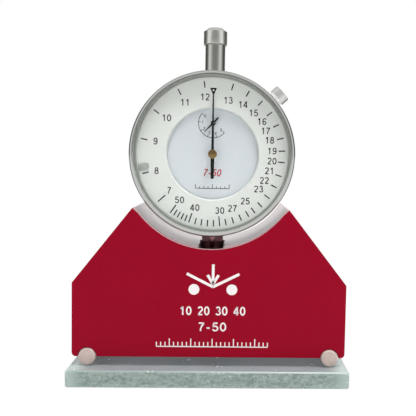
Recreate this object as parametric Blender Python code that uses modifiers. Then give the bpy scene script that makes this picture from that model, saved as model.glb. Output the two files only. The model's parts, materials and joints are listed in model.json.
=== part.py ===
"""A screen mesh tension meter standing on its zeroing glass.

A dial indicator is held by its stem in a block between two painted plates. The block stands on two
ground rods. A sprung foot between the rods lifts the indicator's spindle, whose rack turns a gear
train with the pointer and the small counting hand.

X runs along the plates, -Y is the dial's side and +Z is up. The origin lies under the middle of the
glass. Pieces on the dial's axis are built with their own +Z towards the front, so their heights are
distances in front of the spindle's axis.
"""
import math

import bmesh
import bpy
from mathutils import Matrix, Vector

MM = 0.001

# Clearances and cutting
SEAT = 0.3 * MM
RUN = 0.1 * MM
PIVOT_PLAY = 0.06 * MM
OVERRUN = 2 * MM
MERGE = 0.001 * MM

# Facets of round pieces, by size
LARGE_ROUND_STEPS = 60
HIDDEN_ROUND_STEPS = 48
ROUND_STEPS = 24
SMALL_ROUND_STEPS = 16
TINY_ROUND_STEPS = 12

# Zeroing glass
GLASS_MARGIN = 1 * MM
GLASS_DEPTH = 44 * MM
GLASS_THICKNESS = 6 * MM
GLASS_ARRIS = 0.5 * MM

# Support rods
ROD_RADIUS = 3 * MM
ROD_INSET = 5.4 * MM
ROD_PROUD = 0.5 * MM
ROD_CHAMFER = 0.4 * MM

# Plates and block share one outline
FRAME_WIDTH = 96 * MM
FRAME_SIDE_HEIGHT = 26 * MM
FRAME_CORNER = 1.4 * MM
NOTCH_GAP = 3.7 * MM
NOTCH_FLOOR_ABOVE_BASE = 38.8 * MM
PEAK_INSET = 5.8 * MM
PEAK_BLUNT = 0.6 * MM
BLOCK_DEPTH = 29 * MM
PLATE_THICKNESS = 2 * MM
PLATE_EDGE = 0.4 * MM
NOTCH_STEPS = 14
CORNER_STEPS = 3
ROD_NOTCH_STEPS = 8

# Front plate's blind studs
STUD_RADIUS = 1.5 * MM
STUD_LENGTH = 5 * MM

# Screws of the back plate
BACK_SCREW_HEAD = 2.8 * MM
BACK_SCREW_SHANK = 1.4 * MM
BACK_SCREW_LENGTH = 7 * MM
FASTENER_INSET = 12 * MM
FASTENER_LOW = 8 * MM
FASTENER_HIGH = 27 * MM

# Stem, its bush and its set screw
STEM_RADIUS = 4 * MM
STEM_COLLAR_RADIUS = 5.4 * MM
STEM_COLLAR_HEIGHT = 1.2 * MM
STEM_SLOT_WIDTH = 8.8 * MM
STEM_SLOT_DEPTH = 3.4 * MM
BUSH_WALL = 0.6 * MM
BUSH_PROUD = 0.9 * MM
BUSH_SPLIT = 0.8 * MM
BUSH_DEPTH = 12 * MM
SET_SCREW_RADIUS = 2 * MM
SET_SCREW_LENGTH = 7 * MM
SET_SCREW_SOCKET = 1 * MM
SET_SCREW_SOCKET_DEPTH = 1.6 * MM
SET_SCREW_DROP = 6 * MM

# Sprung foot in the block
FOOT_STROKE = 2.4 * MM
FOOT_LENGTH = 13.6 * MM
FOOT_SLOT_PLAY = 0.5 * MM
PLUNGER_RADIUS = 3 * MM
PLUNGER_COLLAR_RADIUS = 7 * MM
PLUNGER_COLLAR_HEIGHT = 1.6 * MM
PLUNGER_ABOVE_BASE = 23.7 * MM
PLUNGER_CHAMFER = 0.4 * MM
CHAMBER_RADIUS = 8 * MM
CHAMBER_ABOVE_BASE = 19.9 * MM
GUIDE_BUSH_FLANGE = 7.4 * MM
GUIDE_BUSH_FLANGE_HEIGHT = 1 * MM
GUIDE_BUSH_TOP_GAP = 1.5 * MM
COVER_WIDTH = 26 * MM
COVER_DEPTH = 21 * MM
COVER_THICKNESS = 2 * MM
COVER_SCREW_HALF_SPAN = 10.4 * MM
COVER_SCREW_HEAD = 1.7 * MM
COVER_SCREW_SHANK = 0.9 * MM
COVER_SCREW_LENGTH = 6 * MM
FOOT_SPRING_RADIUS = 5.2 * MM
FOOT_SPRING_WIRE = 0.55 * MM
FOOT_SPRING_TURNS = 6
COIL_POINTS = 8

# Spindle and its rack
SPINDLE_RADIUS = 2.5 * MM
SPINDLE_BELOW_STEM = 1 * MM
SPINDLE_BELOW_SLEEVE_TOP = 6.8 * MM
SPINDLE_CHAMFER = 0.3 * MM
CONTACT_RADIUS = 2 * MM
CONTACT_CHAMFER = 0.7 * MM
RACK_PITCH = 0.625 * MM
RACK_PITCH_LINE = 2.3 * MM
RACK_TEETH = 14
RACK_TEETH_BELOW_PINION = 4
SPINDLE_PIN_RADIUS = 0.7 * MM
SPINDLE_PIN_REACH = 10.4 * MM
SPINDLE_PIN_DROP = 1.5 * MM
FORK_WIDTH = 3.4 * MM
FORK_HEIGHT = 12 * MM
FORK_REACH = 3.2 * MM
FORK_GAP_TO_PIN = 0.3 * MM
RETURN_SPRING_X = 6 * MM
RETURN_SPRING_RADIUS = 1.5 * MM
RETURN_SPRING_WIRE = 0.22 * MM
RETURN_SPRING_TURNS = 8
RETURN_SPRING_LENGTH = 12.4 * MM
SPRING_POST_RADIUS = 0.7 * MM
SPRING_POST_LENGTH = 4.6 * MM

# Gear train
RACK_PINION_TEETH = 16
FIRST_GEAR_TEETH = 100
CENTRE_PINION_TEETH = 10
COUNTER_GEAR_TEETH = 100
TOOTH_TIP_SHARE = 0.08
ADDENDUM_SHARE = 0.7
DEDENDUM_SHARE = 1.2
MESH_PLAY = 0.02 * MM
GEAR_THICKNESS = 0.8 * MM
GEAR_FRONT = 6.4 * MM
GEAR_WINDOW_RADIUS = 2.3 * MM
GEAR_WINDOW_CIRCLE = 5.6 * MM
GEAR_WINDOWS = 4
PINION_OVERLAP = 0.4 * MM
ARBOR_RADIUS = 0.6 * MM
PIVOT_RADIUS = 0.45 * MM
RACK_PINION_LENGTH = 3.6 * MM

# Movement plates
PLATE_FRONT = 9.4 * MM
MOVEMENT_PLATE_THICKNESS = 1.2 * MM
BRIDGE_FRONT = 4 * MM
BRIDGE_THICKNESS = 1 * MM
PILLAR_RADIUS = 1.4 * MM
PILLAR_1_X, PILLAR_1_Z = -14.5 * MM, 1.5 * MM
PILLAR_2_X, PILLAR_2_Z = 14.5 * MM, 0 * MM
PILLAR_3_X, PILLAR_3_Z = 9 * MM, -13 * MM
BRIDGE_MARGIN = 3 * MM
BRIDGE_TOP = 14.6 * MM
COCK_THICKNESS = 1 * MM
COCK_REACH = 6 * MM
COCK_HALF_WIDTH = 1.6 * MM
MOVEMENT_SCREW_INSET = 1.9 * MM
MOVEMENT_SCREW_HEAD = 1.3 * MM
MOVEMENT_SCREW_HEAD_HEIGHT = 0.8 * MM
MOVEMENT_SCREW_SHANK = 0.7 * MM
MOVEMENT_SCREW_LENGTH = 2.4 * MM
MOVEMENT_SCREW_ANGLES = (25, 145, 265)

# Hairspring
HAIRSPRING_BACK = 4.8 * MM
HAIRSPRING_WIRE = 0.12 * MM
HAIRSPRING_INNER = 1.5 * MM
HAIRSPRING_PITCH = 0.75 * MM
HAIRSPRING_TURNS = 4
HAIRSPRING_POINTS = 12
COLLET_RADIUS = 1.05 * MM
COLLET_HEIGHT = 0.7 * MM
STUD_PIN_RADIUS = 0.5 * MM
STUD_PIN_HEIGHT = 1.2 * MM

# Indicator case
CASE_RADIUS = 27 * MM
CASE_WALL = 1.2 * MM
CASE_FRONT = 10.6 * MM
CASE_REAR = -7 * MM
CASE_CHAMFER = 0.5 * MM
LEDGE_WIDTH = 3.5 * MM
LEDGE_THICKNESS = 1.2 * MM
BACK_THICKNESS = 1.5 * MM
BACK_SPIGOT = 1.4 * MM
BACK_EDGE = 0.6 * MM
SPANNER_HOLE_RADIUS = 1 * MM
SPANNER_HOLE_CIRCLE = 17 * MM
SPANNER_HOLE_DEPTH = 1 * MM
SLEEVE_RADIUS = 3.7 * MM
SLEEVE_ABOVE_CASE = 15.8 * MM
CAP_RADIUS = 4.35 * MM
CAP_ABOVE_SLEEVE = 3.7 * MM
CAP_HEIGHT = 6.6 * MM
CAP_CHAMFER = 1.7 * MM
CAP_FOOT_CHAMFER = 0.3 * MM
CAP_ROOF = 1.4 * MM

# Bezel, crystal and scale
BEZEL_WALL = 2 * MM
BEZEL_FRONT = 16.2 * MM
BEZEL_REAR = 8.4 * MM
BEZEL_CREST_WIDTH = 0.5 * MM
BEZEL_SHOULDER = 0.8 * MM
BEZEL_ROUNDING = 1.1 * MM
BEZEL_REAR_CHAMFER = 0.5 * MM
SCALE_INSET = 0.1 * MM
SCALE_INNER = 16.1 * MM
SCALE_THICKNESS = 0.8 * MM
SCALE_FRONT = 12.8 * MM
LIP_WIDTH = 0.5 * MM
LIP_THICKNESS = 1.2 * MM
RETAINER_WIDTH = 0.8 * MM
RETAINER_THICKNESS = 0.7 * MM
CRYSTAL_LEDGE = 0.8 * MM
CRYSTAL_THICKNESS = 1 * MM
CRYSTAL_DOME = 0.6 * MM
CRYSTAL_RINGS = 3

# Dial and hands
INNER_DIAL_RADIUS = 17.2 * MM
INNER_DIAL_FRONT = 11 * MM
INNER_DIAL_THICKNESS = 0.6 * MM
DIAL_FOOT_RADIUS = 0.8 * MM
DIAL_FOOT_X = 11 * MM
DIAL_FOOT_Z = -8 * MM
POINTER_FRONT = 13.7 * MM
POINTER_THICKNESS = 0.25 * MM
POINTER_LENGTH = 20.6 * MM
POINTER_TAIL = 8.7 * MM
POINTER_TIP_WIDTH = 0.3 * MM
POINTER_ROOT_WIDTH = 0.95 * MM
POINTER_TAIL_WIDTH = 1.3 * MM
POINTER_EYE = 1.3 * MM
HUB_RADIUS = 1.55 * MM
HUB_HEIGHT = 0.8 * MM
HUB_CHAMFER = 0.35 * MM
COUNTER_HAND_FRONT = 11.75 * MM
COUNTER_HAND_THICKNESS = 0.25 * MM
COUNTER_HAND_LENGTH = 4.6 * MM
COUNTER_HAND_TAIL = 2.6 * MM
COUNTER_HAND_TIP_WIDTH = 0.2 * MM
COUNTER_HAND_ROOT_WIDTH = 0.6 * MM
COUNTER_HAND_EYE = 0.85 * MM
COUNTER_ZERO_ANGLE = 140
COUNTER_STEP_ANGLE = 36

# Bezel clamp
CLAMP_ANGLE = 42.6
CLAMP_FORWARD = 4.6 * MM
CLAMP_BOSS_RADIUS = 2.6 * MM
CLAMP_SHOE_THICKNESS = 1.1 * MM
CLAMP_SHOE_WIDTH = 5 * MM
CLAMP_SHOE_REAR = 1.8 * MM
CLAMP_SHOE_LIP = 1.5 * MM
CLAMP_HEAD_RADIUS = 3.2 * MM
CLAMP_HEAD_HEIGHT = 3 * MM
CLAMP_HEAD_GAP = 0.3 * MM
CLAMP_SHANK_RADIUS = 1 * MM
CLAMP_SHANK_PROUD = 0.8 * MM
CLAMP_KNURLS = 28
CLAMP_KNURL_DEPTH = 0.2 * MM

# Places and heights worked out from the sizes above
GLASS_WIDTH = FRAME_WIDTH + 2 * GLASS_MARGIN
ROD_HALF_SPAN = FRAME_WIDTH / 2 - ROD_INSET
FASTENER_HALF_SPAN = FRAME_WIDTH / 2 - FASTENER_INSET
GLASS_TOP = GLASS_THICKNESS
FRAME_BASE = GLASS_TOP + SEAT + ROD_RADIUS
BEZEL_RADIUS = CASE_RADIUS + BEZEL_WALL
NOTCH_RADIUS = BEZEL_RADIUS + NOTCH_GAP
NOTCH_BOTTOM = FRAME_BASE + NOTCH_FLOOR_ABOVE_BASE
DIAL_Z = NOTCH_BOTTOM + NOTCH_RADIUS
PEAK_HALF_SPAN = NOTCH_RADIUS - PEAK_INSET
SHOULDER_Z = FRAME_BASE + FRAME_SIDE_HEIGHT
PEAK_Z = DIAL_Z - math.sqrt(NOTCH_RADIUS ** 2 - PEAK_HALF_SPAN ** 2)
PLATE_INNER_Y = BLOCK_DEPTH / 2 + SEAT
PLATE_OUTER_Y = PLATE_INNER_Y + PLATE_THICKNESS
BUSH_RADIUS = STEM_RADIUS + RUN + BUSH_WALL
BORE_RADIUS = BUSH_RADIUS + RUN
STEM_BOTTOM = NOTCH_BOTTOM - BUSH_DEPTH
CHAMBER_TOP = FRAME_BASE + CHAMBER_ABOVE_BASE
PLUNGER_TOP = FRAME_BASE + PLUNGER_ABOVE_BASE
COVER_TOP = FRAME_BASE + COVER_THICKNESS
COLLAR_BOTTOM = COVER_TOP + FOOT_STROKE + SEAT
COLLAR_TOP = COLLAR_BOTTOM + PLUNGER_COLLAR_HEIGHT
GUIDE_FLANGE_BOTTOM = CHAMBER_TOP - SEAT - GUIDE_BUSH_FLANGE_HEIGHT
CASE_INNER = CASE_RADIUS - CASE_WALL
MOVEMENT_SCREW_CIRCLE = CASE_INNER - MOVEMENT_SCREW_INSET
SCALE_OUTER = CASE_RADIUS - SCALE_INSET
LIP_RADIUS = SCALE_OUTER - LIP_WIDTH
CRYSTAL_RADIUS = LIP_RADIUS + CRYSTAL_LEDGE
SLEEVE_TOP = DIAL_Z + CASE_RADIUS + SLEEVE_ABOVE_CASE
CAP_TOP = SLEEVE_TOP + CAP_ABOVE_SLEEVE
SPINDLE_TOP = SLEEVE_TOP - SPINDLE_BELOW_SLEEVE_TOP
CLAMP_BOSS_END = BEZEL_RADIUS
CLAMP_SHOE_START = CLAMP_BOSS_END + SEAT
CLAMP_SHANK_END = CASE_INNER - CLAMP_SHANK_PROUD
SPINDLE_BOTTOM = STEM_BOTTOM - SPINDLE_BELOW_STEM
GEAR_BACK = GEAR_FRONT - GEAR_THICKNESS
BRIDGE_BACK = BRIDGE_FRONT - BRIDGE_THICKNESS
PLATE_BACK = PLATE_FRONT - MOVEMENT_PLATE_THICKNESS
COCK_FRONT = -SPINDLE_RADIUS + RUN

# The gear train's module, radii and centres follow from the rack's pitch
MODULE = RACK_PITCH / math.pi
RACK_PINION_PITCH_RADIUS = MODULE * RACK_PINION_TEETH / 2
CENTRE_DISTANCE = MODULE * (FIRST_GEAR_TEETH + CENTRE_PINION_TEETH) / 2 + MESH_PLAY
FIRST_X = -(RACK_PITCH_LINE + RACK_PINION_PITCH_RADIUS + MESH_PLAY)
FIRST_Z = -math.sqrt(CENTRE_DISTANCE ** 2 - FIRST_X ** 2)
COUNTER_Z = CENTRE_DISTANCE
COUNTER_ANGLE = COUNTER_ZERO_ANGLE + COUNTER_STEP_ANGLE * FOOT_STROKE / MM

UPRIGHT = (0, 0, 0)
FACING_FRONT = (math.pi / 2, 0, 0)
FACING_BACK = (-math.pi / 2, 0, 0)
RADIAL = (0, math.pi / 2 - math.radians(CLAMP_ANGLE), 0)
CLAMP_PLACE = (0, -CLAMP_FORWARD, DIAL_Z)


def clear_scene():
    for old in list(bpy.data.objects):
        bpy.data.objects.remove(old, do_unlink=True)


def new_collection(name):
    group = bpy.data.collections.new(name)
    bpy.context.scene.collection.children.link(group)
    return group


clear_scene()
PARTS = new_collection("mesh_tension_meter")
CUTTERS = new_collection("cutters")


def new_material(name, colour, metallic, roughness):
    material = bpy.data.materials.new(name)
    material.use_nodes = True
    shader = material.node_tree.nodes["Principled BSDF"]
    shader.inputs["Base Color"].default_value = (*colour, 1)
    shader.inputs["Metallic"].default_value = metallic
    shader.inputs["Roughness"].default_value = roughness
    return material


PAINT = new_material("red_paint", (0.27, 0.006, 0.02), 0, 0.45)
CAST = new_material("grey_body", (0.5, 0.46, 0.47), 0, 0.5)
CHROME = new_material("chrome", (0.7, 0.7, 0.72), 1, 0.1)
SATIN = new_material("satin_metal", (0.55, 0.55, 0.56), 1, 0.3)
STEEL = new_material("steel", (0.5, 0.5, 0.52), 1, 0.35)
BRASS = new_material("brass", (0.65, 0.45, 0.15), 1, 0.3)
CERAMIC = new_material("ceramic", (0.75, 0.68, 0.66), 0, 0.4)
GLASS = new_material("glass", (0.6, 0.75, 0.68), 0, 0.05)
SILVERED = new_material("silvered", (0.8, 0.82, 0.8), 0, 0.4)
PALE_BLUE = new_material("pale_blue", (0.7, 0.78, 0.85), 0, 0.4)
BLACK = new_material("black_paint", (0.02, 0.02, 0.02), 0, 0.5)


def place(piece, material, location=(0, 0, 0), rotation=UPRIGHT):
    """Put a finished piece in the object's collection, at its place."""
    piece.data.materials.clear()
    piece.data.materials.append(material)
    piece.location = location
    piece.rotation_euler = rotation
    PARTS.objects.link(piece)
    return piece


def tool(piece, location=(0, 0, 0), rotation=UPRIGHT):
    """Put a piece that only cuts or is fused into another in the cutters' collection."""
    piece.location = location
    piece.rotation_euler = rotation
    piece.hide_render = True
    piece.display_type = "WIRE"
    CUTTERS.objects.link(piece)
    return piece


def combine(piece, other, operation):
    step = piece.modifiers.new(operation.title(), "BOOLEAN")
    step.operation = operation
    step.solver = "EXACT"
    step.object = other


def cut(piece, *cutters):
    for cutter in cutters:
        combine(piece, cutter, "DIFFERENCE")


def fuse(piece, *others):
    for other in others:
        combine(piece, other, "UNION")


def bevel_edges(piece, width, segments=1):
    step = piece.modifiers.new("Edges", "BEVEL")
    step.width = width
    step.segments = segments
    step.limit_method = "ANGLE"
    step.angle_limit = math.radians(40)


def turned(name, profile, steps=ROUND_STEPS, closed=False):
    """Turn a profile of (radius, height) points about Z, listed from the top down its outer side."""
    mesh = bpy.data.meshes.new(name)
    edges = [(i, i + 1) for i in range(len(profile) - 1)]
    if closed:
        edges.append((len(profile) - 1, 0))
    mesh.from_pydata([(radius, 0, height) for radius, height in profile], edges, [])
    piece = bpy.data.objects.new(name, mesh)
    turn = piece.modifiers.new("Turn", "SCREW")
    turn.axis = "Z"
    turn.angle = 2 * math.pi
    turn.steps = turn.render_steps = steps
    turn.use_merge_vertices = True
    turn.merge_threshold = MERGE
    turn.use_smooth_shade = True
    return piece


def shaft(radius, bottom, top, chamfer=0):
    """Profile of a solid round bar with both ends chamfered."""
    if not chamfer:
        return [(0, top), (radius, top), (radius, bottom), (0, bottom)]
    return [(0, top), (radius - chamfer, top), (radius, top - chamfer),
            (radius, bottom + chamfer), (radius - chamfer, bottom), (0, bottom)]


def sleeve(inner, outer, bottom, top):
    """Closed profile of a plain tube."""
    return [(outer, top), (outer, bottom), (inner, bottom), (inner, top)]


def drill(radius, bottom, top, location=(0, 0, 0), rotation=UPRIGHT, steps=SMALL_ROUND_STEPS):
    """A round cutter from one height to another."""
    return tool(turned("drill", shaft(radius, bottom, top), steps), location, rotation)


def block(name, width, depth, height):
    """A box centred on its own origin."""
    mesh = bpy.data.meshes.new(name)
    shape = bmesh.new()
    bmesh.ops.create_cube(shape, size=1)
    bmesh.ops.scale(shape, vec=(width, depth, height), verts=shape.verts)
    shape.to_mesh(mesh)
    shape.free()
    return bpy.data.objects.new(name, mesh)


def circle(radius, steps, x=0, y=0):
    return [(x + radius * math.cos(2 * math.pi * i / steps),
             y + radius * math.sin(2 * math.pi * i / steps)) for i in range(steps)]


def arc(radius, start, end, steps, x=0, y=0):
    """Points of an arc from one angle to another, in degrees, both ends included."""
    angles = [math.radians(start + (end - start) * i / steps) for i in range(steps + 1)]
    return [(x + radius * math.cos(a), y + radius * math.sin(a)) for a in angles]


def extruded(name, loops, bottom, top):
    """A flat outline, its holes among the loops, made solid between two heights along Z."""
    curve = bpy.data.curves.new(name, "CURVE")
    curve.dimensions = "2D"
    curve.fill_mode = "BOTH"
    curve.extrude = (top - bottom) / 2
    for loop in loops:
        spline = curve.splines.new("POLY")
        spline.points.add(len(loop) - 1)
        for point, (x, y) in zip(spline.points, loop):
            point.co = (x, y, 0, 1)
        spline.use_cyclic_u = True
    return as_mesh(name, curve, (bottom + top) / 2)


def as_mesh(name, curve, lift=0):
    """The curve's shape as a closed mesh, moved up by the lift."""
    source = bpy.data.objects.new(name, curve)
    CUTTERS.objects.link(source)
    evaluated = source.evaluated_get(bpy.context.evaluated_depsgraph_get())
    mesh = bpy.data.meshes.new_from_object(evaluated)
    bpy.data.objects.remove(source, do_unlink=True)
    shape = bmesh.new()
    shape.from_mesh(mesh)
    bmesh.ops.remove_doubles(shape, verts=shape.verts, dist=MERGE)
    bmesh.ops.recalc_face_normals(shape, faces=shape.faces)
    shape.to_mesh(mesh)
    shape.free()
    mesh.transform(Matrix.Translation((0, 0, lift)))
    mesh.shade_smooth()
    mesh.set_sharp_from_angle(angle=math.radians(30))
    mesh.name = name
    return bpy.data.objects.new(name, mesh)


def wire(name, points, radius, bevel_resolution=1):
    """A round wire through the points, closed at both ends."""
    curve = bpy.data.curves.new(name, "CURVE")
    curve.dimensions = "3D"
    curve.bevel_depth = radius
    curve.bevel_resolution = bevel_resolution
    curve.use_fill_caps = True
    spline = curve.splines.new("POLY")
    spline.points.add(len(points) - 1)
    for point, place_of_point in zip(spline.points, points):
        point.co = (*place_of_point, 1)
    return as_mesh(name, curve)


def coil_points(radius, turns, bottom, top, straight):
    """A helix whose two ends run straight along its axis."""
    count = turns * COIL_POINTS
    low, high = bottom + straight, top - straight
    points = [Vector((radius, 0, bottom))]
    for i in range(count + 1):
        angle = 2 * math.pi * i / COIL_POINTS
        height = low + (high - low) * i / count
        points.append(Vector((radius * math.cos(angle), radius * math.sin(angle), height)))
    points.append(Vector((points[-1].x, points[-1].y, top)))
    return points


def print_least_gap(name, points, radius, per_turn):
    """Print the least space between a wound wire's turns, measured on its points."""
    apart = per_turn // 2
    least = min((a - b).length for i, a in enumerate(points) for b in points[i + apart:])
    print(f"{name}: least gap to itself {(least - 2 * radius) / MM:.2f} mm")


def tooth_loop(teeth, first_tooth):
    """Outline of a gear with straight-sided teeth and sharp roots, from the first tooth's angle."""
    pitch_radius = MODULE * teeth / 2
    tip = pitch_radius + ADDENDUM_SHARE * MODULE
    root = pitch_radius - DEDENDUM_SHARE * MODULE
    step = 2 * math.pi / teeth
    points = []
    for i in range(teeth):
        centre = math.radians(first_tooth) + i * step
        for radius, share in ((tip, -TOOTH_TIP_SHARE), (tip, TOOTH_TIP_SHARE), (root, 1)):
            angle = centre + share * step / 2
            points.append((radius * math.cos(angle), radius * math.sin(angle)))
    return points


def gear_disc(name, teeth, first_tooth, bore):
    """A thin gear with round windows, ready to sit on its arbor."""
    windows = [circle(GEAR_WINDOW_RADIUS, TINY_ROUND_STEPS, *spot)
               for spot in circle(GEAR_WINDOW_CIRCLE, GEAR_WINDOWS)]
    loops = [tooth_loop(teeth, first_tooth), circle(bore, TINY_ROUND_STEPS), *windows]
    return extruded(name, loops, GEAR_BACK, GEAR_FRONT)


def frame_half(inset=0):
    """Right half of the frame's outline, from the notch's lowest point round to the base."""
    half_width = FRAME_WIDTH / 2 - inset
    radius = NOTCH_RADIUS + inset
    peak_angle = math.degrees(math.asin(PEAK_HALF_SPAN / radius))
    blunt_angle = math.degrees(PEAK_BLUNT / radius)
    notch = arc(radius, -90, -90 + peak_angle - blunt_angle, NOTCH_STEPS, 0, DIAL_Z)
    slope = Vector((half_width - PEAK_HALF_SPAN, SHOULDER_Z - PEAK_Z)).normalized()
    past_peak = Vector((PEAK_HALF_SPAN, PEAK_Z)) + slope * PEAK_BLUNT
    corner = arc(FRAME_CORNER, 0, -90, CORNER_STEPS, half_width - FRAME_CORNER,
                 FRAME_BASE + FRAME_CORNER)
    return notch + [tuple(past_peak), (half_width, SHOULDER_Z)] + corner


def frame_outline(rod_gap):
    """The whole outline, with a half-round notch over each rod."""
    half = frame_half()
    half += arc(ROD_RADIUS + rod_gap, 0, 180, ROD_NOTCH_STEPS, ROD_HALF_SPAN, FRAME_BASE)
    mirrored = [(-x, z) for x, z in reversed(half[1:])]
    return half + mirrored


def fastener_spots():
    return [(side * FASTENER_HALF_SPAN, FRAME_BASE + height)
            for height in (FASTENER_LOW, FASTENER_HIGH) for side in (-1, 1)]


def make_glass():
    glass = block("zero_glass", GLASS_WIDTH, GLASS_DEPTH, GLASS_THICKNESS)
    bevel_edges(glass, GLASS_ARRIS)
    place(glass, GLASS, (0, 0, GLASS_THICKNESS / 2))


def make_rods():
    reach = PLATE_OUTER_Y + ROD_PROUD
    for name, side in (("support_rod_left", -1), ("support_rod_right", 1)):
        rod = turned(name, shaft(ROD_RADIUS, -reach, reach, ROD_CHAMFER), ROUND_STEPS)
        place(rod, CERAMIC, (side * ROD_HALF_SPAN, 0, FRAME_BASE), FACING_FRONT)


def make_block():
    body = extruded("body_block", [frame_outline(RUN)], -BLOCK_DEPTH / 2, BLOCK_DEPTH / 2)
    stem_bore = drill(BORE_RADIUS, CHAMBER_TOP - OVERRUN, NOTCH_BOTTOM + OVERRUN, steps=ROUND_STEPS)
    chamber = drill(CHAMBER_RADIUS, COVER_TOP - OVERRUN, CHAMBER_TOP, steps=ROUND_STEPS)
    recess_height = COVER_THICKNESS + SEAT + OVERRUN
    recess = tool(block("recess", COVER_WIDTH + 2 * SEAT, COVER_DEPTH + 2 * SEAT, recess_height),
                  (0, 0, COVER_TOP + SEAT - recess_height / 2))
    slot_reach = BLOCK_DEPTH / 2 + OVERRUN
    slot_height = STEM_SLOT_DEPTH + OVERRUN
    stem_slot = tool(block("stem_slot", STEM_SLOT_WIDTH, slot_reach, slot_height),
                     (0, -slot_reach / 2, NOTCH_BOTTOM - STEM_SLOT_DEPTH + slot_height / 2))
    body_tools = [stem_bore, chamber, recess, stem_slot]
    set_screw_z = NOTCH_BOTTOM - SET_SCREW_DROP
    body_tools.append(drill(SET_SCREW_RADIUS + RUN, 0, BLOCK_DEPTH, (0, 0, set_screw_z), FACING_BACK))
    for x, z in fastener_spots():
        stud_hole = drill(STUD_RADIUS + RUN, BLOCK_DEPTH / 2 - STUD_LENGTH, BLOCK_DEPTH / 2 + OVERRUN,
                          (x, 0, z), FACING_FRONT, TINY_ROUND_STEPS)
        screw_hole = drill(BACK_SCREW_SHANK + RUN, BLOCK_DEPTH / 2 - BACK_SCREW_LENGTH,
                           BLOCK_DEPTH / 2 + OVERRUN, (x, 0, z), FACING_BACK, TINY_ROUND_STEPS)
        body_tools += [stud_hole, screw_hole]
    for side in (-1, 1):
        body_tools.append(drill(COVER_SCREW_SHANK + RUN, FRAME_BASE, FRAME_BASE + COVER_SCREW_LENGTH,
                                (side * COVER_SCREW_HALF_SPAN, 0, 0), steps=TINY_ROUND_STEPS))
    body = place(body, CAST, (0, 0, 0), FACING_FRONT)
    cut(body, *body_tools)


def make_plates():
    front = extruded("front_plate", [frame_outline(SEAT)], PLATE_INNER_Y, PLATE_OUTER_Y)
    bevel_edges(front, PLATE_EDGE)
    stud_end = BLOCK_DEPTH / 2 - STUD_LENGTH + SEAT
    middle = PLATE_INNER_Y + PLATE_THICKNESS / 2
    for x, z in fastener_spots():
        stud = turned("stud", shaft(STUD_RADIUS, stud_end, middle), TINY_ROUND_STEPS)
        fuse(front, tool(stud, (x, 0, z), FACING_FRONT))
    place(front, PAINT, (0, 0, 0), FACING_FRONT)

    back = extruded("back_plate", [frame_outline(SEAT)], -PLATE_OUTER_Y, -PLATE_INNER_Y)
    bevel_edges(back, PLATE_EDGE)
    for number, (x, z) in enumerate(fastener_spots(), 1):
        seat = [(0, PLATE_OUTER_Y + RUN), (BACK_SCREW_HEAD + 2 * RUN, PLATE_OUTER_Y + RUN),
                (BACK_SCREW_SHANK + RUN, PLATE_INNER_Y), (BACK_SCREW_SHANK + RUN, 0), (0, 0)]
        cut(back, tool(turned("countersink", seat, SMALL_ROUND_STEPS), (x, 0, z), FACING_BACK))
        make_back_screw(f"back_screw_{number}", x, z)
    cut(back, drill(SET_SCREW_RADIUS + SEAT, 0, PLATE_OUTER_Y + OVERRUN,
                    (0, 0, NOTCH_BOTTOM - SET_SCREW_DROP), FACING_BACK))
    place(back, PAINT, (0, 0, 0), FACING_FRONT)


def make_back_screw(name, x, z):
    """Countersunk screw with a slot, its head flush with the back plate."""
    tip = BLOCK_DEPTH / 2 - BACK_SCREW_LENGTH + SEAT
    profile = [(0, PLATE_OUTER_Y), (BACK_SCREW_HEAD, PLATE_OUTER_Y),
               (BACK_SCREW_SHANK, PLATE_INNER_Y), (BACK_SCREW_SHANK, tip), (0, tip)]
    screw = turned(name, profile, SMALL_ROUND_STEPS)
    slot_cutter = block("slot", BACK_SCREW_HEAD * 3, SEAT * 2, PLATE_THICKNESS)
    cut(screw, tool(slot_cutter, (x, PLATE_OUTER_Y, z), FACING_BACK))
    place(screw, STEEL, (x, 0, z), FACING_BACK)


def make_stem_fixing():
    bottom = STEM_BOTTOM + RUN
    top = NOTCH_BOTTOM - STEM_SLOT_DEPTH + BUSH_PROUD
    bush = turned("stem_bush", sleeve(STEM_RADIUS + RUN, BUSH_RADIUS, bottom, top), ROUND_STEPS, True)
    split = block("split", BUSH_SPLIT, BUSH_RADIUS * 2, BUSH_DEPTH * 2)
    cut(bush, tool(split, (0, -BUSH_RADIUS, bottom)))
    place(bush, STEEL)

    inner_end = BUSH_RADIUS + SEAT
    profile = [(0, inner_end + SET_SCREW_LENGTH), (SET_SCREW_RADIUS, inner_end + SET_SCREW_LENGTH),
               (SET_SCREW_RADIUS, inner_end + SEAT), (SET_SCREW_RADIUS - SEAT, inner_end),
               (0, inner_end)]
    screw = turned("stem_set_screw", profile, SMALL_ROUND_STEPS)
    spot = (0, 0, NOTCH_BOTTOM - SET_SCREW_DROP)
    socket_bottom = inner_end + SET_SCREW_LENGTH - SET_SCREW_SOCKET_DEPTH
    cut(screw, drill(SET_SCREW_SOCKET, socket_bottom, socket_bottom + OVERRUN * 2,
                     spot, FACING_BACK, 6))
    place(screw, STEEL, spot, FACING_BACK)


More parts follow.
